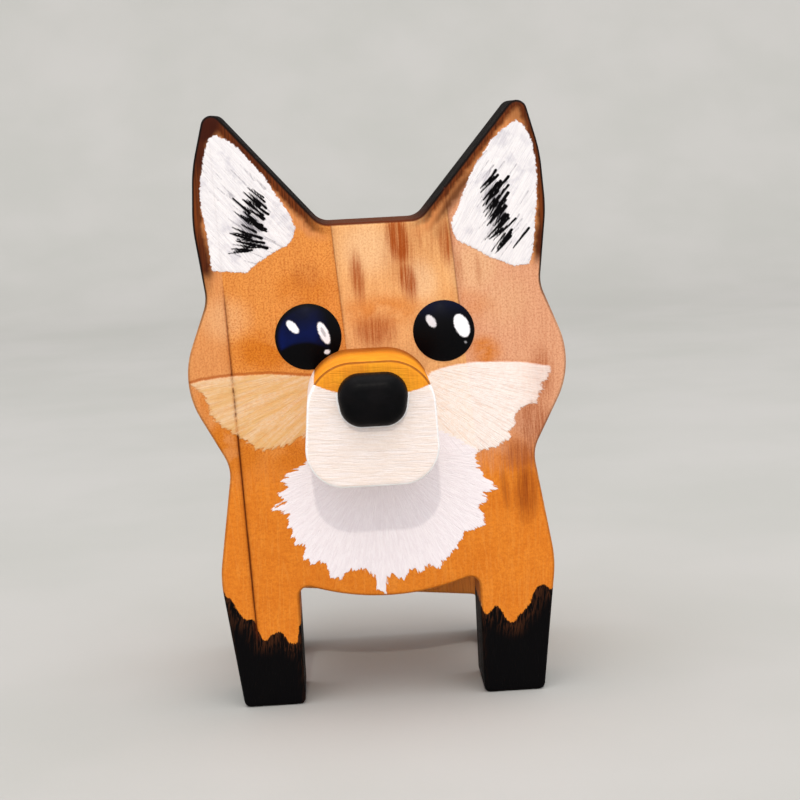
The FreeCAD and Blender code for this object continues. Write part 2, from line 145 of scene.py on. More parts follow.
# %% Signed distances
def inside(points, loop, batch=4000):
    """Signed distance of each point to a closed loop. The distance is that to the nearest side, and the sign
    comes from how many sides a ray to the right crosses, odd for a point inside."""
    a, b = loop, np.roll(loop, -1, 0)
    side = b - a
    length_2 = (side**2).sum(1)
    rise = np.where(side[:, 1] == 0, 1e-9, side[:, 1])
    answers = []
    for some in np.array_split(points, len(points) // batch + 1):
        gap = some[:, None] - a
        share = np.clip((gap * side).sum(2) / length_2, 0, 1)
        near = np.sqrt(((gap - share[..., None] * side) ** 2).sum(2)).min(1)
        height = some[:, None, 1]
        crossed = (a[:, 1] > height) != (b[:, 1] > height)
        at = a[:, 0] + (height - a[:, 1]) / rise * side[:, 0]
        odd = (crossed & (some[:, None, 0] < at)).sum(1) % 2 == 1
        answers.append(np.where(odd, near, -near))
    return np.concatenate(answers)


def saw_distance(points, seam):
    """Distance of each point to the right of a straight saw line, given as its x at two heights."""
    (x_high, z_high), (x_low, z_low) = seam
    along = unit(np.array([[x_high - x_low, z_high - z_low]]))[0]
    return (points[:, 0] - x_low) * along[1] - (points[:, 1] - z_low) * along[0]


def sawn(loop, seam, keep):
    """The part of a closed loop on one side of a saw line: points on the kept side stay, and each side that
    crosses the line gets a point where it crosses, found by proportion of the two distances."""
    if seam is None:
        return loop
    here = keep * saw_distance(loop, seam)
    there = np.roll(here, -1)
    crossing = (here > 0) != (there > 0)
    share = np.where(crossing, here / np.where(here == there, 1, here - there), 0)
    cut = loop + share[:, None] * (np.roll(loop, -1, 0) - loop)
    both = np.stack([loop, cut], 1).reshape(-1, 2)
    kept = both[np.stack([here > 0, crossing], 1).ravel()]
    apart = np.linalg.norm(kept - np.roll(kept, 1, 0), axis=1) > 1e-4
    return spaced(kept[apart])


def smooth(value, low, high):
    """0 below low and 1 above high, with the S-curve 3t^2 - 2t^3 between them."""
    t = np.clip((value - low) / (high - low), 0, 1)
    return t * t * (3 - 2 * t)


print("middle of the face is", inside(np.array([[0.0, 90.0]]), front_loop).round(1)[0], "mm from the edge")

# %% [markdown]
# ## A slab between two height fields
#
# A board, the muzzle, the nose and even a domed eye are the same kind of form: a flat outline with a front
# that swells or rolls over at its edge, a wall, and a back. A bevelled solid would do for the boards, but
# the paint needs thousands of points on the faces to carry its distances. So the outline is filled with
# points, packed closer where the surface turns and round the screws, joined by a Delaunay triangulation,
# and each point is pushed to its depth. The same triangles turned over make the back.

# %% Points to fill an outline
SINK, SINK_SLOPE, SINK_DEPTH = 4.05, 1.3, 2.6  # a countersink's mouth radius, steepness and floor
SINK_RINGS, SINK_CLEAR = (4.35, SINK, 3.3, 2.2), 4.7  # rings of points round it, and the grid kept clear


def strip_distance(points, cuts):
    """How deep each point lies in the strip between its saw cuts. A cut is a saw line and the side kept."""
    depths = [keep * saw_distance(points, seam) for seam, keep in cuts]
    return np.min(depths, axis=0) if cuts else np.full(len(points), 99.0)


def filling(outline, round_over, step=STEP, cuts=(), ease=0.0, dense=(), screws=()):
    """Points inside an outline and between its saw cuts: rows of a triangular grid, finer grids in the dense
    boxes, rings r * (1 - cos a) in from the outline for a rolled edge, a line beside each cut, and rings
    round each screw in place of the grid."""
    grids = [(outline.min(0), outline.max(0), step)]
    grids += [(np.array(box[:2]), np.array(box[2:4]), box[4]) for box in dense]
    clouds = []
    for number, (near, far, pitch) in enumerate(grids):
        x, z = np.meshgrid(np.arange(near[0], far[0], pitch), np.arange(near[1], far[1], pitch * ROW_RISE))
        x = x + (np.arange(len(x)) % 2)[:, None] * pitch / 2
        cloud = np.column_stack([x.ravel(), z.ravel()])
        for finer in grids[1:] if number == 0 else []:
            cloud = cloud[((cloud < finer[0]) | (cloud > finer[1])).any(1)]
        cloud = cloud[strip_distance(cloud, cuts) > ease + GAP * pitch]
        clouds.append(cloud[inside(cloud, outline) > round_over + GAP * pitch])
    along = unit(np.roll(outline, -1, 0) - np.roll(outline, 1, 0))
    inward = np.column_stack([-along[:, 1], along[:, 0]])
    for angle in (0.3, 0.6, 0.9, 1.2, np.pi / 2) if round_over else ():
        depth = round_over * (1 - np.cos(angle))
        ring = outline + inward * depth
        ring = ring[strip_distance(ring, cuts) > 0.12]
        clouds.append(ring[inside(ring, outline) > 0.98 * depth])
    for seam, keep in cuts:
        (x_high, z_high), (x_low, z_low) = seam
        z = np.arange(z_low, z_high, step)
        line = np.column_stack([x_low + (z - z_low) / (z_high - z_low) * (x_high - x_low) + keep * ease, z])
        clouds.append(line[inside(line, outline) > round_over + 0.1])
    turn = np.linspace(0, 2 * np.pi, 48, endpoint=False)
    for screw in screws:
        clouds = [cloud[np.linalg.norm(cloud - screw, axis=1) > SINK_CLEAR] for cloud in clouds]
        for radius in SINK_RINGS:
            ring = np.array(screw) + radius * np.column_stack([np.cos(turn), np.sin(turn)])
            clouds.append(ring[strip_distance(ring, cuts) > 0.3])
    return np.vstack(clouds)


def countersunk(points, screws):
    """Depth of the screw holes: a cone inside the mouth of each, down to a flat floor."""
    near = np.min([np.linalg.norm(points - screw, axis=1) for screw in screws], axis=0)
    return np.clip(SINK_SLOPE * (SINK - near), 0, SINK_DEPTH)


# %% The slab itself
def slab(name, loop, inner, surfaces):
    """A closed mesh in millimetres. surfaces(points) gives the front y, the back y and named numbers. The
    triangulated outline is set at the front y, the same triangles turned over at the back y, with two
    triangles per rim edge between them, and the numbers are stored at each point for the materials."""
    flat = [Vector(p) for p in np.vstack([loop, inner]).tolist()]
    spots, _, faces, *_ = delaunay_2d_cdt(flat, [], [list(range(len(loop)))], 1, 1e-6)
    spots, faces = np.array([p[:] for p in spots]), np.array(faces)
    a, b, c = (spots[faces[:, k]] for k in range(3))
    turn = (b - a)[:, 0] * (c - a)[:, 1] - (b - a)[:, 1] * (c - a)[:, 0]
    faces[turn < 0] = faces[turn < 0][:, ::-1]
    count = len(spots)
    edges = np.vstack([faces[:, [0, 1]], faces[:, [1, 2]], faces[:, [2, 0]]])
    rim = edges[~np.isin(edges[:, 0] * count + edges[:, 1], edges[:, 1] * count + edges[:, 0])]
    i, j = rim[:, 0], rim[:, 1]
    walls = np.vstack([np.column_stack([j, i, i + count]), np.column_stack([j, i + count, j + count])])
    front, back, marks = surfaces(spots)
    shape = np.vstack([np.column_stack([spots[:, 0], y, spots[:, 1]]) for y in (front, back)])
    mesh = bpy.data.meshes.new(name)
    mesh.from_pydata((shape * 0.001).tolist(), [], np.vstack([faces, faces[:, ::-1] + count, walls]).tolist())
    for label, numbers in marks.items():
        layer = mesh.attributes.new(label, "FLOAT", "POINT")
        layer.data.foreach_set("value", np.tile(numbers, 2).astype(np.float32))
    mesh.shade_smooth()
    mesh.set_sharp_from_angle(angle=radians(38))
    piece = bpy.data.objects.new(name, mesh)
    bpy.context.scene.collection.objects.link(piece)
    print(name, len(mesh.polygons), "triangles")
    return piece


def roll_over(distance, radius):
    """How far a rounded edge has dropped at a distance from the outline: r - sqrt(r^2 - (r - d)^2)."""
    if not radius:
        return np.zeros_like(distance)
    left = np.clip(radius - np.clip(distance, 0, radius), 0, radius)
    return radius - np.sqrt(np.maximum(radius**2 - left**2, 0))


def stand_in(piece, node, finish):
    """Gives a finished piece its material, parents it to the root body and hides the CAD node it stands for.
    """
    piece.data.materials.append(finish)
    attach(piece, "root")
    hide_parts(node)


# %% [markdown]
# ## Where the paint goes
#
# The painter works from memory of a fox: white ears with dark bristles inside, cream cheeks, a ragged bib,
# black socks, and warm stains on the bare forehead. Each area is a short closed line in millimetres. The
# lines only place the paint: how ragged its edge is comes later, from noise in the material.

# %% Painted areas
EAR_WHITE = [
    [(-37.5, 149.5), (-39.4, 148.4), (-40.7, 144.5), (-41.8, 139.8), (-42.4, 136), (-42.3, 131),
     (-41.4, 125.5), (-41, 121), (-40.6, 115.6), (-36, 115), (-31.8, 114.6), (-29.7, 116.5),
     (-26.8, 118.3), (-23.1, 120.2), (-21, 121.1), (-19.9, 122.4), (-18.8, 125.2), (-19.8, 128.1),
     (-22.1, 132), (-24.2, 135.3), (-26, 138.7), (-28.1, 141.1), (-30.2, 143.7), (-32, 146),
     (-34.4, 147.9)],
    [(38.2, 149.3), (36.1, 148.2), (34, 146.8), (31.4, 144.4), (29.7, 141.8), (28.1, 139.8),
     (26.8, 137.7), (25.4, 135), (24, 132), (22.5, 128.1), (21.1, 125.6), (20.5, 123.9), (21.2, 121.3),
     (22.1, 119.7), (24.1, 118.8), (26.6, 117.4), (30.1, 115.2), (33.4, 113.8), (36.4, 112.6), (40, 113),
     (41, 115.5), (41.5, 119), (42, 124), (42.6, 129.5), (42.9, 135.5), (42.5, 140.5), (41.6, 144.8),
     (40, 147.9)],
]
CHEEK = [
    [(-48.2, 87), (-45.6, 87.6), (-42.2, 88), (-36.6, 88.4), (-32.2, 88.4), (-27.9, 88.4), (-22.6, 87.8),
     (-16, 87), (-15, 80), (-17, 73), (-21, 71.6), (-25, 69.5), (-28.9, 68.7), (-32.7, 69.2), (-33.9, 70.8),
     (-36.4, 72.5), (-38.3, 73.9), (-40.8, 75.7), (-42.7, 77.9), (-44, 81.3), (-45.2, 84.5)],
    [(11, 84), (13.6, 86.4), (16, 87.3), (18, 87.7), (21.2, 88.2), (25.3, 88.5), (31.5, 88.2), (36.9, 87.8),
     (40.5, 87.1), (44.4, 86.3), (44, 84.3), (42.4, 82.3), (41.5, 79.7), (40.6, 77.1), (37.2, 76.3),
     (35.6, 75.1), (34.7, 72.8), (33.6, 70.2), (33.4, 68.1), (30.3, 66.7), (27.1, 65.2), (22, 65), (16, 66),
     (11, 70)],
]
BIB = [
    [(-15, 72), (-18, 66.5), (-20.6, 64.5), (-24.1, 62.1), (-26.4, 60), (-25, 58.6), (-28, 56.4),
     (-25.4, 54.9), (-29.6, 52.9), (-25.3, 51.8), (-25.6, 48.6), (-24.4, 47.4), (-24.2, 42.8),
     (-21.4, 43.6), (-21.6, 39.4), (-19.6, 37.4), (-16.6, 38.4), (-15.1, 34.1), (-13.2, 33.3),
     (-11.4, 35.2), (-7, 35.7), (-3.9, 34.4), (-3, 29.3), (-1.2, 29.1), (0.5, 33.9), (3.9, 32.2),
     (6.2, 34.9), (8.9, 34), (10.3, 36), (13.6, 34.8), (15.4, 37.3), (18.2, 40.3), (20.5, 44.2),
     (24.4, 44.8), (26.2, 45.7), (25.1, 48.6), (24.6, 50.6), (26.8, 52.2), (25.8, 54.1), (29.6, 54.9),
     (26.5, 57.9), (24.8, 61), (24, 66), (14, 72)],
]
SOCK = [
    [(-44, 32.6), (-42.6, 30.4), (-41.5, 29.6), (-39.9, 26.3), (-38.7, 24.5), (-37.7, 23.9), (-35.9, 24),
     (-35, 21.4), (-34.1, 18.3), (-33.1, 18), (-31.7, 19.4), (-29.3, 20.3), (-28.3, 19.3), (-27.1, 17.3),
     (-25.6, 16.4), (-24.8, 17.6), (-24.4, 21), (-23.2, 22.5), (-22, 20), (-20, -4), (-46, -4)],
    [(21, 26), (23.1, 27), (23.8, 24), (24.9, 21.3), (26, 22), (27.6, 23.7), (28.7, 23.2), (29.6, 21),
     (30.6, 19.3), (32.2, 18.7), (33.3, 20.4), (35.5, 22.2), (37, 24.5), (37.9, 27.1), (38.9, 28.2),
     (40.5, 28.6), (42.1, 27.3), (46, 27), (46, -4), (20, -4)],
]


def painted(points, areas):
    """Signed distance to a set of painted areas: the greatest of the distances to each of them."""
    return np.max([inside(points, np.array(area, float)) for area in areas], axis=0)


print("painted areas:", len(EAR_WHITE + CHEEK + BIB + SOCK))

# %% [markdown]
# ## Soft stains and bristles
#
# Heartwood streaks, the flushed patches by the eyes, the dark ear tips and the grey haze behind the
# bristles fade into their surroundings, so they are soft ellipses instead of lines: a middle, two half
# sizes, a lean in degrees and a strength. The dark patch between the eyes and one on the right jaw are
# painted shadow of the glasses as well as stain. The bristles are single dabs of a nearly dry brush,
# combed one way: each is a short tapered segment, and the depth of a point in the nearest dab is stored.

# %% Ellipses and dabs
def soft_patch(points, x, z, half_x, half_z, lean=0.0):
    """1 at the middle of a leaning ellipse, falling to 0 at its rim as a smooth hump."""
    turn = radians(lean)
    dx, dz = points[:, 0] - x, points[:, 1] - z
    across = (dx * cos(turn) + dz * sin(turn)) / half_x
    along = (dz * cos(turn) - dx * sin(turn)) / half_z
    return 1 - smooth(np.hypot(across, along), 0.25, 1.0)


def patches(points, listed):
    """The strongest of several soft patches at each point."""
    return np.max([soft_patch(points, *one[:5]) * one[5] for one in listed], axis=0)


# Stains and painted shade: mostly heartwood streaks, but the patches at (0, 98) between the eyes and (36,
# 63.5) on the right jaw are also painted shadow of the glasses.
STAINS_AND_SHADE = [
    (6.9, 121, 4.2, 11, 6, 1.3), (8.6, 111, 3.8, 8, 14, 1.0), (-3.8, 112, 2.8, 9.5, 4, 0.75),
    (12.3, 121, 0.9, 7, 4, 0.45), (15.2, 120, 1.8, 8, 4, 0.25), (18.8, 120, 2.7, 9, 4, 0.9),
    (22.0, 113, 1.6, 7, 4, 0.4), (27.0, 112, 1.4, 6, 4, 0.3), (-17, 113, 5, 5, 0, 0.3),
    (40, 71, 8, 13, 15, 0.6), (36.8, 54, 4.5, 12, 0, 0.85), (31.5, 55, 1.6, 9, 6, 0.5),
    (36, 63.5, 7, 7, 10, 0.75), (42, 84, 4.5, 10, 0, 0.6), (0, 98, 8, 6, 0, 0.75), (8, 117, 8, 14, 8, 0.35),
]
GLOW = [
    (-29, 94, 12, 8, 0, 1.0), (-38, 70, 13, 13, 0, 1.2), (27.5, 91, 6, 5.5, 0, 1.0),
    (-15, 108, 9, 8, 30, 0.6), (2, 103, 16, 6, 0, 0.7), (-20, 110, 8, 6, 0, 0.5),
    (-44, 80, 5, 9, 0, 0.6), (24, 104, 10, 5, -20, 0.3), (-24, 66, 10, 8, 0, 1.0),
    (30, 66, 10, 8, 0, 0.6),
]
PALE = [
    (-1, 119, 10, 10, 0, 0.8), (12, 110, 6, 8, 10, 1.0), (-38, 103, 9, 8, 0, 0.4), (33, 104, 10, 10, 0, 0.25),
    (26, 113, 9, 10, 0, 0.55),
]
SHADY = [
    (-39.5, 152.5, 6, 10, -20, 1.1), (-41.5, 145, 3, 9, 0, 0.8), (-30, 145, 3, 10, 42, 0.5),
    (22.0, 131, 2.4, 14, -38, 0.8), (17.5, 123, 3.5, 5, -30, 0.45), (38.6, 152, 5, 6, 0, 0.4),
    (43, 118, 3, 9, 0, 0.45), (-42, 118, 3, 12, 0, 0.55),
]
HAZE = [(-30.4, 126, 4.0, 8.5, -12, 1.0), (32.4, 126.5, 3.6, 10, 12, 1.0)]
SOFT = {"stain": STAINS_AND_SHADE, "glow": GLOW, "pale": PALE, "shady": SHADY, "haze": HAZE}
rng = np.random.default_rng(11)


def dabs(spine, count, spread, half_length, half_width):
    """Dabs scattered along a spine of x, z and lean in degrees: each has a middle, a direction a little off
    the lean, a half length and a half width, all drawn from the seeded generator."""
    spine = np.array(spine, float)
    along = np.linspace(0, len(spine) - 1, count) + rng.normal(0, 0.05, count)
    x, z, lean = (np.interp(along, np.arange(len(spine)), spine[:, k]) for k in range(3))
    middle = np.column_stack([x, z]) + rng.normal(0, 1, (count, 2)) * spread
    angle = np.radians(lean + rng.normal(0, 4, count))
    length = rng.uniform(*half_length, count)
    width = rng.uniform(*half_width, count)
    return np.column_stack([middle, angle, length, width])


def dab_distance(points, strokes):
    """How deep each point lies in the nearest dab: its half width, tapering to a third along its length,
    less the distance to its centre line. Negative outside."""
    deepest = np.full(len(points), -3.0)
    for x, z, angle, length, width in strokes:
        way = np.array([np.cos(angle), np.sin(angle)])
        gap = points - [x, z]
        share = np.clip(gap @ way / length, -1, 1)
        away = np.linalg.norm(gap - share[:, None] * length * way, axis=1)
        deepest = np.maximum(deepest, width * (0.68 + 0.32 * share) - away)
    return deepest


BRISTLES = np.vstack([
    dabs([(-28.9, 134.6, -42), (-29.8, 130.6, -44), (-30, 127, -32), (-31.2, 122.9, -18), (-32.6, 119.8, 2)],
         34, (1.5, 0.3), (1.7, 3.1), (0.25, 0.45)),
    dabs([(30.8, 135, 44), (31.6, 130.5, 52), (32, 127, 46), (33, 122.6, 45), (34, 117.6, 46)],
         38, (1.3, 0.3), (1.9, 3.3), (0.25, 0.45)),
])
WISPS = np.vstack([
    dabs([(-33, 140, -50), (-31, 131, -45), (-29, 119, -20)], 34, (3.4, 2), (1.5, 3.6), (0.1, 0.2)),
    dabs([(33, 139, 52), (30, 128, 52), (37, 116, 45)], 34, (3.8, 2), (1.5, 3.6), (0.1, 0.2)),
])
print("dabs of dry brush:", len(BRISTLES), "dark and", len(WISPS), "faint")

# %% [markdown]
# ## Mixing nodes without a tangle
#
# Every finish below is a recipe of the same few steps: a noise, a threshold, a sum, a mix of two colours.
# Placing and wiring each node by hand hides the idea, so a small helper class does the wiring and the
# recipe reads as one line per step.

# %% A helper that fills node trees
def dye(red, green, blue):
    """A colour as a paint shop would give it, 0 to 255, turned into the linear light that nodes use."""
    share = np.array([red, green, blue]) / 255
    linear = np.where(share <= 0.04045, share / 12.92, ((share + 0.055) / 1.055) ** 2.4)
    return tuple(float(v) for v in linear) + (1.0,)


class Recipe:
    """A node tree being filled. Any value may be a number, a colour, a vector or another node's output."""

    def __init__(self, tree):
        self.tree = tree

    def node(self, kind, values=None, out=0, **settings):
        """Adds a node, applies its settings, fills its inputs by name or place, and returns one output, or
        with None all of them."""
        made = self.tree.nodes.new(kind)
        for key, value in settings.items():
            setattr(made, key, value)
        for key, value in (values or {}).items():
            if isinstance(value, bpy.types.NodeSocket):
                self.tree.links.new(value, made.inputs[key])
            else:
                made.inputs[key].default_value = value
        return made.outputs if out is None else made.outputs[out]

    def math(self, operation, first, second=0.0, third=0.0, clamp=False):
        """One sum on two or three numbers."""
        values = {0: first, 1: second, 2: third}
        return self.node("ShaderNodeMath", values, operation=operation, use_clamp=clamp)

    def times(self, first, second, clamp=False):
        """Two numbers multiplied."""
        return self.math("MULTIPLY", first, second, clamp=clamp)

    def scaled(self, value, by, start):
        """A number multiplied, then added to a starting value."""
        return self.math("MULTIPLY_ADD", value, by, start)

    def plus(self, first, second):
        """Two numbers added."""
        return self.math("ADD", first, second)

    def less(self, first, second, clamp=False):
        """The second number taken from the first."""
        return self.math("SUBTRACT", first, second, clamp=clamp)

    def most(self, first, second):
        """The greater of two numbers."""
        return self.math("MAXIMUM", first, second)

    def step(self, value, low, high, bottom=0.0, top=1.0):
        """A smooth rise from bottom at low to top at high."""
        values = {0: value, 1: low, 2: high, 3: bottom, 4: top}
        return self.node("ShaderNodeMapRange", values, interpolation_type="SMOOTHSTEP")

    def mix(self, share, first, second, mode="MIX"):
        """Two colours mixed by a share from 0 to 1."""
        values = {0: share, 6: first, 7: second}
        return self.node("ShaderNodeMix", values, out=2, data_type="RGBA", blend_type=mode)

    def layers(self, colour, *coats):
        """Coats laid over a colour one by one, each a mask, a strength and a paint."""
        for mask, strength, paint in coats:
            colour = self.mix(self.times(mask, strength), colour, paint)
        return colour

    def stretch(self, where, x=1.0, y=1.0, z=1.0):
        """A position scaled along its axes."""
        return self.node("ShaderNodeVectorMath", {0: where, 1: (x, y, z)}, operation="MULTIPLY")

    def noise(self, where, scale, detail=3.0, rough=0.55, bend=0.0):
        """Cloudy noise between 0 and 1, mostly near a half."""
        values = {"Vector": where, "Scale": scale, "Detail": detail, "Roughness": rough, "Distortion": bend}
        return self.node("ShaderNodeTexNoise", values)

    def mark(self, name):
        """A number stored at the points of the mesh."""
        return self.node("ShaderNodeAttribute", out="Fac", attribute_name=name)

    def use(self, group, where, **values):
        """A shared effect at a position, its other inputs given by name: its one output, or all of them
        when there are several."""
        answers = self.node("ShaderNodeGroup", {"Position": where, **values}, None, node_tree=group)
        return answers if len(answers) > 1 else answers[0]

    def fan(self, x, z, centre_x, centre_z, arc):
        """A position that spreads from a centre: across, the bearing from straight down times an arc in
        millimetres, and along, the distance from the centre."""
        across = self.less(x, centre_x)
        below = self.less(centre_z, z)
        bearing = self.math("ARCTAN2", across, below)
        reach = self.math("SQRT", self.scaled(across, across, self.times(below, below)))
        return self.node("ShaderNodeCombineXYZ", {0: self.times(bearing, arc), 2: reach})

    def place(self):
        """The position on the piece in millimetres, and its x, y and z."""
        where = self.stretch(self.node("ShaderNodeTexCoord", out="Object"), 1000, 1000, 1000)
        return where, *self.node("ShaderNodeSeparateXYZ", {0: where}, None)


def new_group(name, **takes):
    """An empty group that takes a position and named numbers: its recipe, its inputs, and a function that
    gives each answer an output of its own name and hands back the finished group."""
    tree = bpy.data.node_groups.new(name, "ShaderNodeTree")
    tree.interface.new_socket("Position", in_out="INPUT", socket_type="NodeSocketVector")
    for label, value in takes.items():
        socket = tree.interface.new_socket(label, in_out="INPUT", socket_type="NodeSocketFloat")
        socket.default_value = value

    def serve(**answers):
        """Names the outputs, then wires the answers to them."""
        for label in answers:
            tree.interface.new_socket(label, in_out="OUTPUT", socket_type="NodeSocketFloat")
        ends = tree.nodes.new("NodeGroupOutput").inputs
        for label, answer in answers.items():
            tree.links.new(answer, ends[label])
        return tree

    return Recipe(tree), tree.nodes.new("NodeGroupInput").outputs, serve


print("a warm white as linear light:", [round(v, 2) for v in dye(244, 238, 230)[:3]])

# %% [markdown]
# ## Effects shared by several finishes
#
# Wood grain, the drag of a brush, the ragged end of a stroke, the speckle of thin paint and the wear on an
# edge turn up on almost every piece. Each becomes a node group, built once and used with different values,
# and each gives only masks and heights, so that the shader itself stays in the material.

# %% Wood grain
grain, takes, serve = new_group("Wood grain", Board=0.0)
apart = grain.node("ShaderNodeCombineXYZ", {0: grain.times(takes["Board"], 37.0),
                                            2: grain.times(takes["Board"], 91.0)})
board_spot = grain.node("ShaderNodeVectorMath", {0: takes["Position"], 1: apart}, operation="ADD")
fine = grain.noise(grain.stretch(board_spot, 2.6, 2.6, 0.07), 1.0, 5, 0.65, 0.25)
broad = grain.noise(grain.stretch(board_spot, 0.22, 0.3, 0.018), 1.0, 4, 0.6, 1.1)
bands = grain.scaled(grain.math("SINE", grain.times(broad, 46.0)), 0.5, 0.5)
WOOD = serve(Fibre=grain.step(fine, 0.3, 0.7), Rings=grain.math("POWER", bands, 1.6),
             Height=grain.scaled(bands, -0.35, fine))

# %% Brush marks and ragged ends
brush, takes, serve = new_group("Brush marks", Turn=0.0, Length=6.0, Width=0.5)
turned = brush.node("ShaderNodeVectorRotate", {"Vector": takes["Position"], "Angle": takes["Turn"]},
                    rotation_type="Y_AXIS")
sizes = brush.node("ShaderNodeCombineXYZ", {0: takes["Length"], 1: takes["Width"], 2: takes["Width"]})
drawn = brush.node("ShaderNodeVectorMath", {0: turned, 1: sizes}, operation="DIVIDE")
ridges = brush.noise(drawn, 1.0, 3, 0.6, 0.6)
hairs = brush.noise(drawn, 2.7, 2, 0.6, 0.3)
BRUSH = serve(Streak=brush.step(ridges, 0.36, 0.64), Height=brush.scaled(hairs, 0.5, ridges))

ragged, takes, serve = new_group("Ragged end", Distance=0.0, Bite=0.6, Grain=0.6, Soft=0.12)
nibble = ragged.noise(takes["Position"], ragged.math("DIVIDE", 1.0, takes["Grain"]), 3, 0.65)
moved = ragged.scaled(ragged.less(nibble, 0.5), ragged.times(takes["Bite"], 4.0), takes["Distance"])
below = ragged.times(takes["Soft"], -1.0)
RAGGED = serve(Mask=ragged.step(moved, below, takes["Soft"]))

# %% Speckle and edge wear
speckle, takes, serve = new_group("Thin paint speckle", Size=0.5)
dots = speckle.noise(takes["Position"], speckle.math("DIVIDE", 1.0, takes["Size"]), 2, 0.7)
clouds = speckle.noise(takes["Position"], 0.16, 3, 0.55, 0.4)
SPECKLE = serve(Specks=speckle.step(dots, 0.40, 0.68), Clouds=speckle.step(clouds, 0.32, 0.68))

wear, takes, serve = new_group("Edge wear", Distance=1.0, Width=0.5)
near_edge = wear.step(takes["Distance"], takes["Width"], 0.0)
patchy = wear.step(wear.noise(takes["Position"], 0.45, 4, 0.7), 0.5, 0.66)
WEAR = serve(Rubbed=wear.times(near_edge, patchy))
print("shared effects:", [tree.name for tree in bpy.data.node_groups])


# %% A material to put them in
def new_finish(name, **constants):
    """A Principled material: its recipe, and a function that wires colour, roughness and relief into it."""
    finish = bpy.data.materials.new(name)
    finish.use_nodes = True
    tree = finish.node_tree
    shader = tree.nodes["Principled BSDF"]
    for label, value in constants.items():
        shader.inputs[label.replace("_", " ")].default_value = value
    recipe = Recipe(tree)

    def serve(colour, rough, height, relief):
        """Wires the finished colour, roughness and height, the height in units of the relief in metres."""
        bump = recipe.node("ShaderNodeBump", {"Height": height, "Distance": relief, "Strength": 0.7})
        tree.links.new(colour, shader.inputs["Base Color"])
        tree.links.new(rough, shader.inputs["Roughness"])
        tree.links.new(bump, shader.inputs["Normal"])
        finish.diffuse_color = (0.8, 0.5, 0.2, 1)
        return finish

    return recipe, serve


# %% [markdown]
# ## The painted front board
#
# Each stave came from a different plank, so the thin wash over the forehead shows a different wood on each:
# peach on the outer staves, honey beside the left ear, pale tan in the middle. Lower down the orange is
# opaque. The finish builds up in the painter's own order, one short function a layer: wash, body colour,
# stains and speckle, cheeks, ear rims, ears, bib, socks, and last the dark line left where two staves meet
# and the wear. The back of the board has only a thin plain coat, so there every point counts as far
# outside the areas of the face.

# %% Colours of the front
ORANGE = dye(231, 137, 43)
AMBER = dye(214, 124, 34)
RUST = dye(168, 82, 30)
UMBER = dye(70, 32, 12)
TIP = dye(62, 24, 12)
TAN_EDGE = dye(222, 148, 88)
PALE_TAN = dye(250, 206, 154)
SNOW = dye(247, 243, 241)
BIB_WHITE = dye(250, 242, 243)
COOL_GREY = dye(178, 174, 186)
INK = dye(3, 2, 3)
SOOT = dye(60, 32, 16)
SEAM_BROWN = dye(92, 36, 12)
NEAR_BLACK = dye(12, 5, 3)
BARE_PINE = dye(230, 188, 130)
GLOSS = 0.06  # how strongly thick paint mirrors
OFF_FACE = -30.0  # millimetres outside an area
FRONT_FACE, FRONT_BACK, EDGE = -14.5, 5.5, 1.0  # y of the faces of the front board, radius of its edge


def readings(recipe, board, turn):
    """What the layers of a stave's paint share: places, grain, strokes, distances and masks. Behind the
    board every point counts as far outside the areas of the face. The wall is the rim of the board."""
    spot, x, y, z = recipe.place()
    cheek_fan, bib_fan = recipe.fan(x, z, -2.0, 92.0, 30.0), recipe.fan(x, z, -1.0, 66.0, 22.0)
    front = recipe.step(y, FRONT_BACK - 0.6, FRONT_BACK - 1.2)
    behind = recipe.less(1.0, front)
    areas = {name: recipe.scaled(behind, OFF_FACE, recipe.mark(name)) for name in ("ear", "cheek", "bib")}
    marks = {name: recipe.mark(name) for name in ("edge", "sock", "seam", "open_seam", "ear_side", *SOFT)}
    return SimpleNamespace(
        spot=spot, x=x, z=z, front=front, behind=behind, cheek_fan=cheek_fan, bib_fan=bib_fan,
        wall=recipe.times(recipe.step(y, FRONT_FACE + 0.5, FRONT_FACE + 0.95), front),
        lumps=recipe.step(recipe.noise(recipe.stretch(spot, 1, 1, 1.3), 0.95, 4, 0.65), 0.4, 0.62),
        wood=recipe.use(WOOD, spot, Board=board), specks=recipe.use(SPECKLE, spot, Size=0.5),
        cheek_strokes=recipe.use(BRUSH, cheek_fan, Turn=1.57, Length=9.0, Width=0.55),
        ear_strokes=recipe.use(BRUSH, spot, Turn=turn, Length=6.0, Width=0.4),
        bib_strokes=recipe.use(BRUSH, bib_fan, Turn=1.57, Length=4.0, Width=0.5), **areas, **marks,
    )


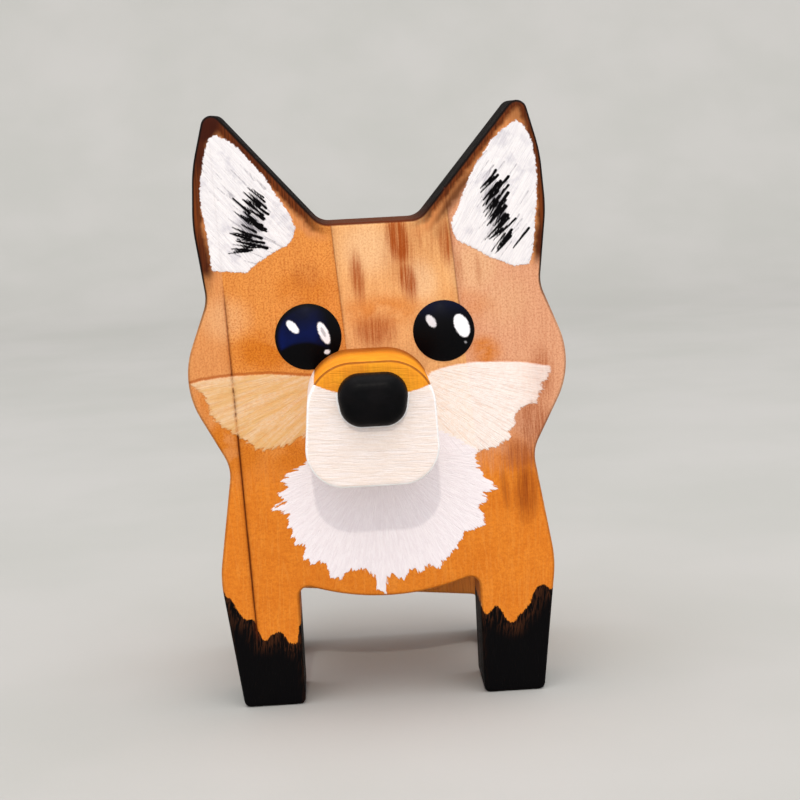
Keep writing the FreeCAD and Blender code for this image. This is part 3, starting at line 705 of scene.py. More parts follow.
# %% Wash, body colour and stains
def ground(recipe, at, wash, grainy):
    """The thin wash above, pale and flushed in patches, the opaque body colour below, then the stains, two of
    them partly painted shadow, and the speckle. Behind, one plain coat over the grain."""
    rings, fibre, clouds = at.wood["Rings"], at.wood["Fibre"], at.specks["Clouds"]
    colour = recipe.layers(wash, (rings, 0.3, recipe.mix(0.4, wash, RUST)), (at.pale, 0.9, PALE_TAN))
    colour = recipe.layers(colour, (fibre, 0.3, recipe.mix(0.35, colour, RUST)))
    glow = recipe.times(at.glow, recipe.step(clouds, -0.6, 0.9), clamp=True)
    low = recipe.plus(at.z, recipe.times(fibre, 5.0))
    body = recipe.layers(ORANGE, (clouds, 0.4, dye(214, 116, 30)), (at.lumps, 0.42, dye(206, 106, 26)),
                         (recipe.step(rings, 0.6, 1.0), 0.16, dye(246, 168, 78)))
    stain = recipe.times(at.stain, recipe.scaled(fibre, 0.45, recipe.scaled(rings, 0.3, 0.5)), clamp=True)
    stain_and_shade_tone = recipe.mix(recipe.step(at.z, 84.0, 66.0), RUST, dye(148, 66, 16))
    colour = recipe.layers(colour, (glow, 0.95, AMBER), (recipe.step(low, 72.0, 60.0), 1.0, body),
                           (stain, recipe.scaled(at.wall, -0.6, at.front), stain_and_shade_tone))
    dusty = recipe.times(at.specks["Specks"], recipe.step(low, 60.0, 76.0, 0.25, grainy))
    colour = recipe.mix(dusty, colour, recipe.mix(1.0, colour, dye(206, 158, 124), "MULTIPLY"))
    bare = recipe.layers(ORANGE, (rings, 0.4, RUST), (fibre, 0.3, dye(240, 170, 96)))
    return recipe.mix(at.behind, colour, bare)


# %% Cheeks
def cheeks(recipe, at, colour, wash, cheek):
    """Cream fans with a ragged lower end, thinner to the far right, and a rusty line along the brow."""
    mask = recipe.use(RAGGED, recipe.stretch(at.cheek_fan, 1.2, 1, 0.45), Distance=at.cheek,
                      Bite=recipe.step(at.z, 87.0, 83.5, 0.2, 1.15), Grain=1.2, Soft=0.32)
    cover = recipe.times(mask, recipe.step(at.cheek_strokes["Streak"], -1.2, 0.6))
    broad = recipe.use(BRUSH, at.cheek_fan, Turn=1.57, Length=14.0, Width=1.7)["Streak"]
    thinner = recipe.mix(0.4, cheek, wash)
    tone = recipe.layers(cheek, (broad, 0.5, recipe.mix(0.55, cheek, dye(255, 250, 238))),
                         (at.cheek_strokes["Streak"], 0.35, thinner), (at.lumps, 0.42, thinner))
    brow = recipe.less(at.cheek, recipe.times(at.wood["Fibre"], 0.25))
    brow = recipe.times(recipe.step(recipe.math("ABSOLUTE", recipe.plus(brow, 0.5)), 0.6, 0.15),
                        recipe.less(recipe.step(at.z, 86.4, 87.6), at.wall, clamp=True))
    colour = recipe.layers(colour, (cover, recipe.step(at.x, 43.0, 33.0, 0.72, 1.0), tone),
                           (brow, recipe.step(at.x, 6.0, -16.0, 0.15, 0.7), RUST))
    return colour, mask


# %% Rims of the ears
def rims(recipe, at, colour):
    """A brown border inside the outline of the ears, a dark line at the arris, which below the ears goes on
    faintly as painted shade of the rolled edge, and a near black wall that ends ragged on the brow."""
    wobble = recipe.scaled(recipe.noise(at.spot, 0.5, 3), 2.0, recipe.less(at.edge, 1.0))
    lighter = recipe.scaled(recipe.step(at.x, 0.0, 10.0), 0.55, wobble)
    tone = recipe.mix(recipe.step(lighter, 1.7, 3.4), UMBER, TAN_EDGE)
    tone = recipe.layers(tone, (at.wood["Fibre"], 0.4, RUST), (at.shady, 1.0, TIP))
    mask = recipe.times(recipe.step(at.z, 111.0, 116.0), recipe.step(wobble, 5.6, 3.4))
    mask = recipe.most(mask, recipe.times(at.shady, 0.85))
    # Dark paint at the arris of the ears; below them the same line at 0.3 is painted shade of the rolled
    # edge.
    outline = recipe.times(recipe.step(at.edge, 0.8, 0.3), recipe.step(at.z, 96.0, 114.0, 0.3, 1.0))
    dark_wall = recipe.use(RAGGED, recipe.stretch(at.spot, 1, 1.6, 0.4), Distance=recipe.less(at.z, 110.0),
                           Bite=1.6, Grain=1.5, Soft=0.8)
    dark_wall = recipe.times(at.wall, dark_wall)
    colour = recipe.layers(colour, (mask, recipe.times(at.ear_side, at.front), tone),
                           (outline, 1.0, recipe.mix(at.ear_side, SEAM_BROWN, NEAR_BLACK)),
                           (dark_wall, 1.0, recipe.mix(at.ear_side, dye(92, 48, 26), NEAR_BLACK)))
    return colour, dark_wall


# %% Ears, bib and socks
def ears(recipe, at, colour):
    """White with grey streaks, faint wisps, a grey haze, and black bristles over it."""
    mask = recipe.use(RAGGED, at.spot, Distance=at.ear, Bite=0.35, Grain=0.7, Soft=0.15)
    streak = at.ear_strokes["Streak"]
    grey = recipe.times(recipe.step(recipe.noise(at.spot, 0.22, 3), 0.52, 0.7), 0.3)
    white = recipe.mix(recipe.scaled(streak, 0.2, grey), SNOW, COOL_GREY)
    wisp = recipe.times(recipe.step(recipe.mark("wisps"), -0.16, 0.12), 0.62)
    haze = recipe.times(at.haze, recipe.scaled(streak, 0.6, 0.3))
    dry = recipe.scaled(at.ear_strokes["Height"], 0.4, recipe.mark("bristles"))
    colour = recipe.layers(colour, (mask, 1.0, white), (mask, wisp, dye(140, 136, 144)),
                           (mask, haze, dye(112, 109, 116)), (mask, recipe.step(dry, 0.16, 0.4), INK))
    return colour, mask


def bib(recipe, at, colour):
    """A white bib whose tufts fan out from the throat."""
    mask = recipe.use(RAGGED, recipe.stretch(at.bib_fan, 1.6, 1, 0.3), Distance=at.bib, Bite=1.2,
                      Grain=1.35, Soft=0.18)
    tone = recipe.layers(BIB_WHITE, (at.bib_strokes["Streak"], 0.3, dye(228, 214, 218)))
    return recipe.mix(mask, colour, tone), mask


def socks(recipe, at, colour):
    """Black socks, thin and brown where the brush ran dry at the top."""
    mask = recipe.use(RAGGED, recipe.stretch(at.spot, 1.5, 1, 0.6), Distance=at.sock, Bite=0.35,
                      Grain=0.7, Soft=0.15)
    hair = recipe.use(BRUSH, at.spot, Turn=1.45, Length=4.0, Width=0.45)["Streak"]
    thin = recipe.times(recipe.step(at.sock, 5.0, 0.4), recipe.step(hair, 0.35, 0.9))
    thin = recipe.times(thin, recipe.less(1.0, at.wall))
    return recipe.mix(mask, colour, recipe.mix(thin, INK, SOOT)), mask


# %% Seams and wear
def seam_lines(recipe, at, colour, cheek_mask, dark_wall):
    """A dark line with a faint halo where two staves meet, patchily filled under the cheeks."""
    crack = recipe.plus(at.seam, recipe.times(at.wood["Fibre"], 0.12))
    filled = recipe.times(cheek_mask, recipe.step(recipe.noise(at.spot, 0.5, 2), 0.6, 0.4, 0.2, 0.95))
    seen = recipe.times(at.open_seam, recipe.less(1.0, filled))
    seen = recipe.times(seen, recipe.less(at.front, dark_wall))
    seen = recipe.times(seen, recipe.step(at.z, 84.0, 94.0, 1.0, 0.6))
    halo = recipe.times(recipe.step(crack, 1.5, 0.2), 0.22)
    line = recipe.most(recipe.times(recipe.step(crack, 0.44, 0.14), 0.9), halo)
    return recipe.layers(colour, (line, seen, SEAM_BROWN))


def wear_marks(recipe, at, colour, sock_mask):
    """Bare pine where the arris is rubbed, fading out towards the ears and absent from the socks."""
    rubbed = recipe.use(WEAR, at.spot, Distance=at.edge, Width=0.45)
    rubbed = recipe.times(rubbed, recipe.less(recipe.step(at.z, 112.0, 100.0), at.wall, clamp=True))
    return recipe.layers(colour, (rubbed, recipe.less(0.5, recipe.times(sock_mask, 0.5)), BARE_PINE))


# %% The whole finish
def front_paint(name, board, wash, cheek, turn, grainy):
    """The paint on one stave: wash is the colour of its thin forehead coat, cheek the colour of its cheek,
    turn the lean of its bristle strokes and grainy how much the thin coat is speckled. Thick paint is
    rougher than thin and shows the brush instead of the grain."""
    recipe, serve = new_finish(name, Specular_IOR_Level=GLOSS)
    at = readings(recipe, board, turn)
    colour = ground(recipe, at, wash, grainy)
    colour, cheek_mask = cheeks(recipe, at, colour, wash, cheek)
    colour, dark_wall = rims(recipe, at, colour)
    colour, ear_mask = ears(recipe, at, colour)
    colour, bib_mask = bib(recipe, at, colour)
    colour, sock_mask = socks(recipe, at, colour)
    colour = seam_lines(recipe, at, colour, cheek_mask, dark_wall)
    colour = wear_marks(recipe, at, colour, sock_mask)
    thick = recipe.most(recipe.most(ear_mask, bib_mask), cheek_mask)
    strokes = recipe.mix(cheek_mask, at.bib_strokes["Height"], at.cheek_strokes["Height"])
    strokes = recipe.mix(ear_mask, strokes, at.ear_strokes["Height"])
    height = recipe.mix(thick, recipe.times(at.wood["Height"], 0.5), strokes)
    rough = recipe.scaled(at.specks["Clouds"], 0.12, 0.5)
    rough = recipe.scaled(recipe.most(thick, dark_wall), 0.2, rough)
    return serve(colour, rough, height, 0.0003)


SEAM_1 = ((-39.6, 162), (-34.6, -4))
SEAM_2 = ((-12.5, 162), (-0.9, -4))
SEAM_3 = ((17.1, 162), (30.1, -4))
LEFT_CHEEK, RIGHT_CHEEK = dye(226, 182, 122), dye(250, 244, 238)
STAVES = [
    {"cuts": [(SEAM_1, -1)], "wash": dye(231, 158, 94), "cheek": LEFT_CHEEK, "turn": -0.9, "grainy": 0.45},
    {"cuts": [(SEAM_1, 1), (SEAM_2, -1)], "wash": dye(236, 156, 76), "cheek": LEFT_CHEEK, "turn": -0.9,
     "grainy": 0.65},
    {"cuts": [(SEAM_2, 1), (SEAM_3, -1)], "wash": dye(243, 184, 120), "cheek": RIGHT_CHEEK, "turn": 1.0,
     "grainy": 0.4},
    {"cuts": [(SEAM_3, 1)], "wash": dye(232, 172, 132), "cheek": RIGHT_CHEEK, "turn": 1.0, "grainy": 0.5},
]
print("colours mixed for", len(STAVES), "staves")

# %% [markdown]
# ## Sawing and gluing the front board
#
# The four staves are strips of the same outline, so each is cut from it along its two saw lines. Only the
# first seam was never filled: it stays as a fine open groove from brow to paw. The other two are hairlines
# on the forehead and vanish under the thick paint below. White paint stands a little proud of the wood,
# and that is real relief in the mesh, not a bump.

# %% Front staves
GROOVE, HAIRLINE, FILM = 0.5, 0.1, 0.07
SNOUT_SCREWS = [(-12.0, 78.0), (6.0, 78.0)]
FINE_EARS = [(-38, 115, -22, 142, 0.34), (23, 111, 41.5, 142, 0.34)]


def cut_out(outline, cuts):
    """The outline sawn along each of its cuts."""
    for seam, keep in cuts:
        outline = sawn(outline, seam, keep)
    return outline


def front_stave(number, cuts, wash, cheek, turn, grainy):
    """One stave of the front board. Its face drops by the greater of the rolled edge and the eased seam,
    less a film of paint inside the white areas, and its back is countersunk for the muzzle's screws."""
    ease = GROOVE if number in (1, 2) else HAIRLINE

    def surfaces(points):
        """Front, back, and every distance and patch that the paint reads."""
        edge = inside(points, front_loop)
        gaps = np.array([np.abs(saw_distance(points, seam)) for seam, _ in cuts])
        on_first = np.array([seam is SEAM_1 for seam, _ in cuts])[gaps.argmin(0)]
        gap, z = gaps.min(0), points[:, 1]
        groove = (1 - 0.88 * smooth(z, 106, 113)) * smooth(z, 17, 22)
        opened = np.where(on_first, groove, 0.8 * smooth(z, 88, 104))
        seam_drop = np.maximum(np.where(on_first, GROOVE, HAIRLINE) - gap, 0) * opened
        areas = {"ear": painted(points, EAR_WHITE), "cheek": painted(points, CHEEK),
                 "bib": painted(points, BIB)}
        film = FILM * smooth(np.max(list(areas.values()), axis=0), -0.1, 0.35)
        rolled = roll_over(edge, EDGE)
        marks = {
            "edge": edge, **areas, "sock": painted(points, SOCK), "seam": gap, "open_seam": opened,
            "bristles": dab_distance(points, BRISTLES), "wisps": dab_distance(points, WISPS),
            "ear_side": smooth(np.abs(points[:, 0]), 8, 17),
            **{name: patches(points, listed) for name, listed in SOFT.items()},
        }
        back = FRONT_BACK - np.maximum(rolled, countersunk(points, SNOUT_SCREWS))
        return FRONT_FACE + np.maximum(rolled, seam_drop) - film, back, marks

    loop = cut_out(front_loop, cuts)
    inner = filling(front_loop, EDGE, cuts=cuts, ease=ease, dense=FINE_EARS, screws=SNOUT_SCREWS)
    piece = slab(f"painted_stave_{number}", loop, inner, surfaces)
    paint = front_paint(f"Painted stave {number}", float(number), wash, cheek, turn, grainy)
    stand_in(piece, f"front_board_stave_{number}", paint)


for number, stave in enumerate(STAVES, start=1):
    front_stave(number, **stave)

# %% [markdown]
# ## The hind board and the block between
#
# Nobody paints the back of a stand twice: the hind board and the block have one thin coat, and the grain
# shows through it. They are the same kind of slab. The hind legs have short black socks.

# %% Thin coat for the back
def thin_coat(name, board, near, far, socks):
    """One thin orange coat over pine, rubbed along the arrises, with or without black socks. near and far
    are the y of its faces: on a rim, the distance to an arris is the distance to the nearer face."""
    recipe, serve = new_finish(name, Specular_IOR_Level=0.3)
    spot, x, y, z = recipe.place()
    wood = recipe.use(WOOD, spot, Board=board)
    specks = recipe.use(SPECKLE, spot, Size=0.5)
    strokes = recipe.use(BRUSH, spot, Turn=1.5, Length=16.0, Width=0.8)
    deep = recipe.math("MINIMUM", recipe.less(y, near), recipe.less(far, y))
    arris = recipe.most(recipe.mark("edge"), recipe.less(deep, 0.8))
    rubbed = recipe.use(WEAR, spot, Distance=arris, Width=0.9)
    colour = recipe.layers(dye(232, 140, 42), (specks["Clouds"], 0.5, dye(214, 122, 38)),
                           (wood["Rings"], 0.3, RUST), (wood["Fibre"], 0.25, dye(240, 170, 96)),
                           (strokes["Streak"], 0.14, RUST), (rubbed, 0.6, BARE_PINE))
    height = recipe.scaled(strokes["Height"], 0.4, wood["Height"])
    if socks:
        line = recipe.less(recipe.scaled(wood["Fibre"], 4.0, 9.0), z)
        sock = recipe.use(RAGGED, recipe.stretch(spot, 1.5, 1, 0.6), Distance=line, Bite=0.6)
        thin = recipe.times(recipe.step(line, 4.0, 0.5), strokes["Streak"])
        colour = recipe.mix(sock, colour, recipe.mix(thin, INK, SOOT))
    return serve(colour, recipe.scaled(wood["Fibre"], 0.15, 0.5), height, 0.00025)


# %% Hind staves
HIND_FACE, HIND_BACK, HIND_EDGE = 29.5, 45.5, 1.2  # the same for the hind board
HIND_LEFT, HIND_RIGHT = ((-14.5, 80), (-14.5, -4)), ((14.5, 80), (14.5, -4))
HIND_SCREWS = [(-22.0, 58.0), (22.0, 58.0)]
HIND_CUTS = [[(HIND_LEFT, -1)], [(HIND_LEFT, 1), (HIND_RIGHT, -1)], [(HIND_RIGHT, 1)]]


def hind_stave(number, cuts):
    """One stave of the hind board, rolled over at the outline, with a hairline at each glue seam."""

    def surfaces(points):
        """Front, back and the distance to the outline."""
        edge = inside(points, hind_loop)
        drop = np.maximum(roll_over(edge, HIND_EDGE), 0.15 - strip_distance(points, cuts))
        back = HIND_BACK - np.maximum(drop, countersunk(points, HIND_SCREWS))
        return HIND_FACE + drop, back, {"edge": edge}

    loop = cut_out(hind_loop, cuts)
    inner = filling(hind_loop, HIND_EDGE, 1.4, cuts, 0.15, screws=HIND_SCREWS)
    piece = slab(f"hind_stave_{number}", loop, inner, surfaces)
    coat = thin_coat(f"Thin coat, hind stave {number}", 4.0 + number, HIND_FACE, HIND_BACK, socks=True)
    stand_in(piece, f"hind_board_stave_{number}", coat)


for number, cuts in enumerate(HIND_CUTS, start=1):
    hind_stave(number, cuts)

# %% The block that joins the boards
block_loop = rounded([(30, 36, 1), (30, 66, 1), (-30, 66, 1), (-30, 36, 1)])


def block_surfaces(points):
    """Flat faces, glued to both boards."""
    flat = np.ones(len(points))
    return FRONT_BACK * flat, HIND_FACE * flat, {"edge": inside(points, block_loop)}


block = slab("joining_block", block_loop, filling(block_loop, 0.0, step=2.5), block_surfaces)
stand_in(block, "body_block", thin_coat("Thin coat, block", 9.0, FRONT_BACK, HIND_FACE, socks=False))

# %% [markdown]
# ## The muzzle
#
# The muzzle is the shelf that the bridge of the glasses rests on: a thick block, its outline a rounded
# shield and its front edge just broken. It is painted cream with flat strokes and capped with orange on its
# upper part. A cleaner white along the rolled edge and round the nose is painted highlight; a dark line at
# the edge of the cap and the orange darkening towards the board are painted shade.

# %% Muzzle shape
SNOUT_FRONT, SNOUT_ROUND, SNOUT_CROWN = -40.5, 1.0, 0.35
SNOUT_CORNERS = [(-20.2, 62.7, 9.5), (13.9, 62.7, 9.5), (12.8, 93.7, 11.5), (-17.4, 93.7, 11.5)]
snout_loop = rounded(SNOUT_CORNERS, 0.5)
NOSE_X, NOSE_Z, NOSE_PROUD, NOSE_ROUND = -2.2, 84.5, 5.0, 3.4
NOSE_CORNERS = [(NOSE_X - 7.4, NOSE_Z - 6.5, 5.4), (NOSE_X + 7.4, NOSE_Z - 6.5, 5.4),
                (NOSE_X + 9.4, NOSE_Z + 6.5, 5.4), (NOSE_X - 9.4, NOSE_Z + 6.5, 5.4)]
nose_loop = rounded(NOSE_CORNERS, 0.4)


def snout_surfaces(points):
    """Rolled edge and a slight crown that falls off towards the rim. The cap is the height above the lower
    edge of the orange, a shallow bow that dips behind the nose."""
    edge = inside(points, snout_loop)
    x = points[:, 0] + 2
    cap = points[:, 1] - (84.9 + 0.0155 * x**2 - 0.05 * x)
    front = SNOUT_FRONT + roll_over(edge, SNOUT_ROUND) - SNOUT_CROWN * smooth(edge, 2, 14)
    back = np.full(len(points), FRONT_FACE)
    return front, back, {"edge": edge, "cap": cap, "nose_gap": -inside(points, nose_loop)}


snout = slab("painted_muzzle", snout_loop, filling(snout_loop, SNOUT_ROUND, step=0.55), snout_surfaces)

# %% Muzzle paint
recipe, serve = new_finish("Painted muzzle", Specular_IOR_Level=GLOSS)
spot, x, y, z = recipe.place()
wood = recipe.use(WOOD, spot, Board=12.0)
specks = recipe.use(SPECKLE, spot, Size=0.45)
strokes = recipe.use(BRUSH, spot, Turn=-0.06, Length=6.5, Width=0.5)
broad = recipe.use(BRUSH, spot, Turn=0.05, Length=11.0, Width=1.6)["Streak"]
edge, cap = recipe.mark("edge"), recipe.mark("cap")
cream = recipe.layers(dye(251, 240, 234), (strokes["Streak"], 0.45, dye(240, 216, 196)),
                      (broad, 0.35, dye(250, 232, 216)), (specks["Specks"], 0.12, dye(214, 190, 176)))
# Painted shade: the orange darkens towards the board, where the muzzle meets the face.
root = recipe.mix(0.5, RUST, SEAM_BROWN)
orange = recipe.layers(dye(254, 168, 40), (specks["Clouds"], 1.0, dye(246, 154, 40)),
                       (wood["Fibre"], 0.25, RUST), (recipe.step(y, -30.0, -17.0), 0.8, root))
cap_mask = recipe.use(RAGGED, spot, Distance=cap, Bite=0.25, Grain=0.9, Soft=0.2)
on_face = recipe.step(y, SNOUT_FRONT + 0.9, SNOUT_FRONT + 0.6)
below_cap = recipe.less(1.0, cap_mask)
# Painted highlight: a cleaner white along the rolled edge of the face and round the nose, below the cap.
rim = recipe.times(recipe.times(recipe.step(edge, 0.62, 0.42), on_face), below_cap)
nose_halo_highlight = recipe.times(recipe.step(recipe.mark("nose_gap"), 0.6, 0.35), below_cap)
# Painted shade: a dark brown line along the rolled edge of the face where the orange cap lies.
brow = recipe.times(recipe.times(cap_mask, on_face), recipe.step(edge, 0.7, 0.3))
rubbed = recipe.use(WEAR, spot, Distance=edge, Width=0.5)
colour = recipe.layers(cream, (cap_mask, 1.0, orange),
                       (recipe.most(rim, nose_halo_highlight), 1.0, dye(255, 253, 250)),
                       (brow, 0.75, dye(110, 46, 18)), (rubbed, recipe.times(on_face, 0.15), BARE_PINE))
rough = recipe.scaled(specks["Clouds"], 0.1, 0.5)
muzzle_paint = serve(colour, rough, strokes["Height"], 0.0004)
stand_in(snout, "snout_block", muzzle_paint)

# %% [markdown]
# ## Nose and eyes
#
# The nose is a pebble of wood under several coats of gloss black. The eyes are domed discs let into the
# board. Their sparkle is painted highlight: white ovals set into the colour, and on the left eye a navy
# crescent round the upper left that is a painted reflection. The ovals are signed distances too.

# %% Nose
def nose_surfaces(points):
    """A well rolled edge with a crown of 0.3 mm over the middle."""
    edge = inside(points, nose_loop)
    front = SNOUT_FRONT - NOSE_PROUD + roll_over(edge, NOSE_ROUND) - 0.3 * smooth(edge, 2.5, 6.5)
    return front, np.full(len(points), SNOUT_FRONT), {"edge": edge}


nose = slab("glossy_nose", nose_loop, filling(nose_loop, NOSE_ROUND, step=0.4), nose_surfaces)
recipe, serve = new_finish("Gloss black", Specular_IOR_Level=GLOSS, Coat_Weight=0.03, Coat_Roughness=0.3)
spot, *_ = recipe.place()
specks = recipe.use(SPECKLE, spot, Size=0.7)
strokes = recipe.use(BRUSH, spot, Turn=0.2, Length=5.0, Width=0.6)
rubbed = recipe.use(WEAR, spot, Distance=recipe.mark("edge"), Width=0.35)
colour = recipe.layers(dye(2, 2, 3), (specks["Clouds"], 1.0, dye(9, 7, 8)), (rubbed, 0.25, dye(60, 52, 46)))
gloss = serve(colour, recipe.scaled(specks["Specks"], 0.12, 0.42), strokes["Height"], 0.00006)
stand_in(nose, "nose", gloss)

# %% Eyes
EYES = {"left": (-17.3, 97.4, 8.5), "right": (17.4, 97.0, 7.9)}
EYE_LIP, EYE_RISE, EYE_ROUND, EYE_SEAT = 0.25, 1.75, 0.25, 1.0
# Painted highlights: white ovals in the colour of each eye that stand for glints of light.
HIGHLIGHT_OVALS = {  # x, z, half width, half height, lean in degrees and brightness
    "left": [(-21.1, 100.3, 1.0, 2.0, 42, 1.0), (-13.3, 98.3, 1.15, 3.0, 21, 1.0),
             (-12.7, 93.4, 0.75, 0.6, 0, 1.0), (-13.4, 98.6, 0.45, 1.4, 21, -0.45)],
    "right": [(14.2, 99.8, 1.0, 1.75, 32, 0.75), (22.0, 98.2, 1.8, 3.15, 22, 1.0),
              (22.8, 93.9, 0.3, 0.35, 0, 0.35)],
}


def domed_eye(side):
    """One eye: a disc seated 1 mm deep with a spherical front. A cap of height h on radius R belongs to a
    sphere of radius (R^2 + h^2) / 2h."""
    cx, cz, radius = EYES[side]
    sphere = (radius**2 + EYE_RISE**2) / (2 * EYE_RISE)
    turn = np.linspace(0, 2 * np.pi, 180, endpoint=False)
    loop = np.column_stack([cx + radius * np.cos(turn), cz + radius * np.sin(turn)])

    def surfaces(points):
        """The cap on its short lip, the flat seat, the painted highlight ovals as a share from 0 to 1,
        softened
        over 0.1 mm, and where the navy lies: a crescent of painted reflection on the left eye, a faint tint
        towards the top on the right."""
        dx, dz = points[:, 0] - cx, points[:, 1] - cz
        out = np.hypot(dx, dz)
        cap = np.sqrt(np.maximum(sphere**2 - out**2, 0)) - (sphere - EYE_RISE)
        front = FRONT_FACE - EYE_LIP - cap + roll_over(radius - out, EYE_ROUND)
        # The painted highlight ovals, summed as a share from 0 to 1.
        painted_highlight = np.zeros(len(points))
        for x, z, half_x, half_z, lean, bright in HIGHLIGHT_OVALS[side]:
            t = radians(lean)
            ox, oz = points[:, 0] - x, points[:, 1] - z
            reach = np.hypot((ox * cos(t) + oz * sin(t)) / half_x, (oz * cos(t) - ox * sin(t)) / half_z)
            painted_highlight = painted_highlight + bright * smooth((1 - reach) * min(half_x, half_z), -0.08, 0.08)
        # Navy: on the left eye a crescent of painted reflection round the upper left; on the right eye only a
        # faint navy towards the top.
        crescent = np.hypot(dx + 1.2, (dz + 10.2) * 1.05) - 9.3
        navy = smooth(crescent, -0.3, 0.8) * smooth(dx, 6.0, 1.0) * smooth(radius - out, 0.2, 1.6)
        navy = navy * (1 - 0.7 * smooth(dz, -1.0, 7.0))
        faint = smooth(dz, 2.0, 9.0) * 0.3
        marks = {"edge": radius - out, "painted_highlight": np.clip(painted_highlight, 0, 1),
                 "navy": navy if side == "left" else faint}
        return front, np.full(len(points), FRONT_FACE + EYE_SEAT), marks

    eye = slab(f"domed_eye_{side}", loop, filling(loop, EYE_ROUND, step=0.3), surfaces)
    recipe, serve = new_finish(f"Eye gloss, {side}", Specular_IOR_Level=GLOSS, Coat_Weight=0.02,
                               Coat_Roughness=0.3)
    spot, *_ = recipe.place()
    specks = recipe.use(SPECKLE, spot, Size=0.6)
    strokes = recipe.use(BRUSH, spot, Turn=0.7, Length=4.0, Width=0.5)
    # The navy of the painted reflection, clouded a little darker.
    navy = recipe.layers(dye(5, 20, 76), (specks["Clouds"], 0.6, dye(3, 9, 34)))
    # Painted highlight: white laid over the black where the ovals lie.
    white = recipe.layers(dye(252, 252, 254), (strokes["Streak"], 0.12, dye(196, 200, 212)))
    colour = recipe.layers(dye(2, 2, 4), (recipe.mark("navy"), 1.0, navy), (recipe.mark("painted_highlight"), 1.0, white))
    rough = recipe.scaled(specks["Specks"], 0.08, 0.46)
    stand_in(eye, f"eye_{side}", serve(colour, rough, strokes["Height"], 0.00002))


for side in EYES:
    domed_eye(side)

# %% [markdown]
# ## Pegs, dowels and screws
#
# These stay as the CAD made them, because their shapes are already right: turned beech and steel wood
# screws. Only their finish changes. Steel is never one grey: the driver scuffs it, and oil dulls it.

# %% Beech and steel
recipe, serve = new_finish("Turned beech", Specular_IOR_Level=0.3)
spot, x, y, z = recipe.place()
along_y = recipe.node("ShaderNodeCombineXYZ", {0: x, 1: z, 2: y})
wood = recipe.use(WOOD, along_y, Board=20.0)
specks = recipe.use(SPECKLE, along_y, Size=0.5)
colour = recipe.layers(dye(222, 186, 142), (wood["Fibre"], 1.0, dye(198, 152, 108)),
                       (wood["Rings"], 0.35, dye(176, 126, 84)), (specks["Specks"], 0.3, dye(150, 100, 66)))
beech = serve(colour, recipe.scaled(specks["Clouds"], 0.15, 0.5), wood["Height"], 0.0002)

recipe, serve = new_finish("Screw steel", Metallic=1.0)
spot, *_ = recipe.place()
specks = recipe.use(SPECKLE, spot, Size=0.35)
scuffs = recipe.use(BRUSH, spot, Turn=0.8, Length=3.0, Width=0.12)
turned = recipe.node("ShaderNodeTexWave", {"Vector": spot, "Scale": 0.9, "Distortion": 2.0},
                     wave_type="RINGS", rings_direction="Y")
colour = recipe.layers(dye(196, 192, 184), (scuffs["Streak"], 0.6, dye(150, 147, 142)),
                       (specks["Clouds"], 0.4, dye(120, 112, 100)))
height = recipe.scaled(turned, 0.3, scuffs["Height"])
steel = serve(colour, recipe.scaled(scuffs["Streak"], 0.22, 0.24), height, 0.00005)

FITTINGS = {"dowel": beech, "peg": beech, "screw": steel}
fitted = {name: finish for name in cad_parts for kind, finish in FITTINGS.items() if kind in name}
for name, finish in fitted.items():
    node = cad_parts[name]
    for place in node.material_slots:
        place.material = finish
    if not node.material_slots:
        node.data.materials.append(finish)
print("steel and beech on", list(fitted))

# %% [markdown]
# ## Floor, light and camera
#
# A pale sweep of card runs from under the feet up behind the fox, curved so that no horizon shows. The
# light is soft, from all round and from a broad lamp overhead. A gentle sun stands in front, a little to
# the left and a third of the way up: it throws the muzzle's shadow down onto the bib.

# %% Pale sweep
def sweep():
    """A sheet of card: flat floor, a quarter bend of radius 0.5 m, and a wall. The profile is carried along
    x as a grid of straight rows."""
    bend = np.linspace(0, np.pi / 2, 24)
    y = np.concatenate([[-1.6, -0.4, 0.4], 0.9 + 0.5 * np.sin(bend), [1.4]])
    z = np.concatenate([[0, 0, 0], 0.5 - 0.5 * np.cos(bend), [1.9]])
    x = np.linspace(-2.2, 2.2, 9)
    across, row = np.meshgrid(x, np.arange(len(y)), indexing="ij")
    points = np.column_stack([across.ravel(), y[row.ravel()], z[row.ravel()]])
    index = np.arange(len(points)).reshape(len(x), len(y))
    quads = np.stack([index[:-1, :-1], index[1:, :-1], index[1:, 1:], index[:-1, 1:]], -1).reshape(-1, 4)
    mesh = bpy.data.meshes.new("sweep")
    mesh.from_pydata(points.tolist(), [], quads.tolist())
    mesh.shade_smooth()
    card = bpy.data.objects.new("sweep", mesh)
    bpy.context.scene.collection.objects.link(card)
    return card


recipe, serve = new_finish("Pale card", Specular_IOR_Level=0.2)
spot, *_ = recipe.place()
tooth = recipe.noise(spot, 0.6, 3)
colour = recipe.mix(recipe.step(recipe.noise(spot, 0.008, 3), 0.3, 0.7), dye(178, 178, 172),
                    dye(184, 183, 178))
card_finish = serve(colour, recipe.scaled(tooth, 0.1, 0.75), tooth, 0.00005)
card = sweep()
card.data.materials.append(card_finish)
card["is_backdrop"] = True
print("sweep:", len(card.data.polygons), "quads")

# %% Lights
world = bpy.data.worlds.new("Soft room")
world.use_nodes = True
world.node_tree.nodes["Background"].inputs["Color"].default_value = (0.95, 0.94, 1.0, 1)
world.node_tree.nodes["Background"].inputs["Strength"].default_value = 1.08
bpy.context.scene.world = world


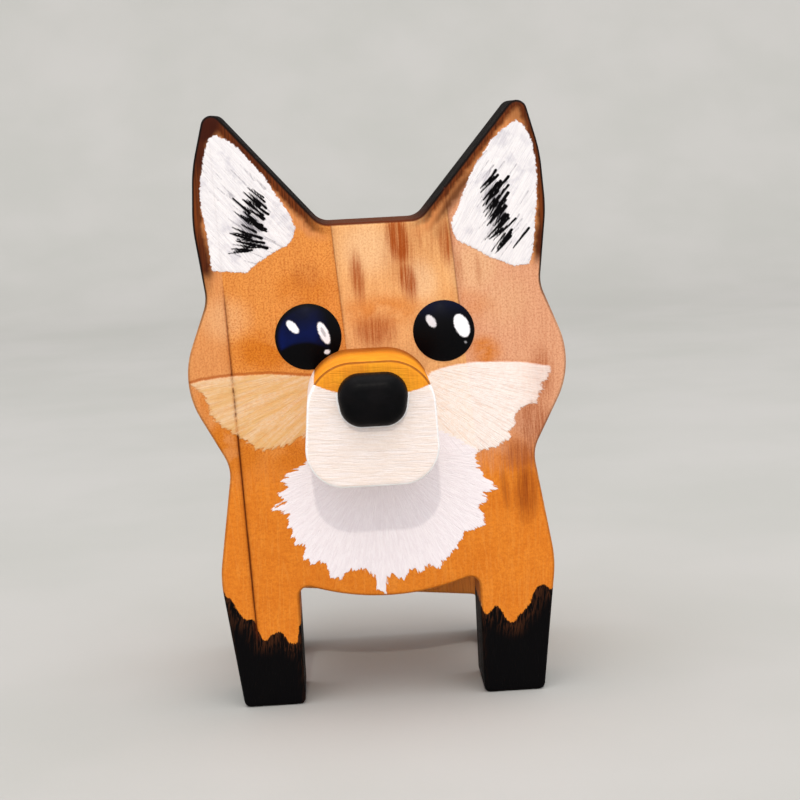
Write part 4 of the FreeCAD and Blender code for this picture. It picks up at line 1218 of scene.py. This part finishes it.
def aimed(name, kind, place, target, **settings):
    """A lamp at a place, pointed at a target."""
    lamp = bpy.data.lights.new(name, kind)
    for key, value in settings.items():
        setattr(lamp, key, value)
    holder = bpy.data.objects.new(name, lamp)
    holder.location = place
    holder.rotation_euler = (Vector(target) - Vector(place)).to_track_quat("-Z", "Y").to_euler()
    bpy.context.scene.collection.objects.link(holder)


def round_about(azimuth, elevation, distance):
    """A place round the fox: azimuth 0 is straight in front and grows to the right."""
    a, e = radians(azimuth), radians(elevation)
    return (distance * cos(e) * sin(a), -distance * cos(e) * cos(a), 0.08 + distance * sin(e))


middle = (0, 0, 0.08)
aimed("key", "SUN", round_about(-2.5, 34, 1.5), middle, energy=0.62, angle=radians(1.5),
      color=(1.0, 0.96, 0.86))
aimed("ceiling", "AREA", (0, -0.3, 1.5), middle, energy=12, shape="RECTANGLE", size=1.6, size_y=1.4,
      color=(1.0, 0.98, 0.95))

# %% Camera
AZIMUTH, DOWN, TIP_OVER = radians(-2), radians(9), radians(3)  # round to the left, downwards, tipped over
SENSOR, FOCAL = 36, 79.65  # millimetres
STANDING = (-0.010436, -0.464226, 0.151)
forward = Vector((-sin(AZIMUTH) * cos(DOWN), cos(AZIMUTH) * cos(DOWN), -sin(DOWN)))
level = forward.cross(Vector((0, 0, 1))).normalized()
upright = level.cross(forward)
right = cos(TIP_OVER) * level - sin(TIP_OVER) * upright
up = sin(TIP_OVER) * level + cos(TIP_OVER) * upright
lens = bpy.data.cameras.new("camera")
lens.sensor_width = SENSOR
lens.lens = FOCAL
lens.clip_start = 0.01
camera = bpy.data.objects.new("camera", lens)
camera.matrix_world = Matrix((right, up, -forward)).transposed().to_4x4()
camera.location = STANDING
bpy.context.scene.collection.objects.link(camera)
bpy.context.scene.camera = camera
bpy.context.scene.view_settings.view_transform = "Standard"
print("camera stands", round(camera.location.length, 3), "m from the feet")

# %% [markdown]
# ## Measure
#
# Both boxes are measured, that of the imported part and that of the finished fox, and the size of the
# finished one is printed. The finished fox has to fill the same box as the imported part.

# %% Sizes and the last word
low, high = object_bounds()
sizes = {"cad": [list(cad_low), list(cad_high)], "visual": [list(low), list(high)]}
print("visual box in mm:", [round(1000 * s, 1) for s in high - low])
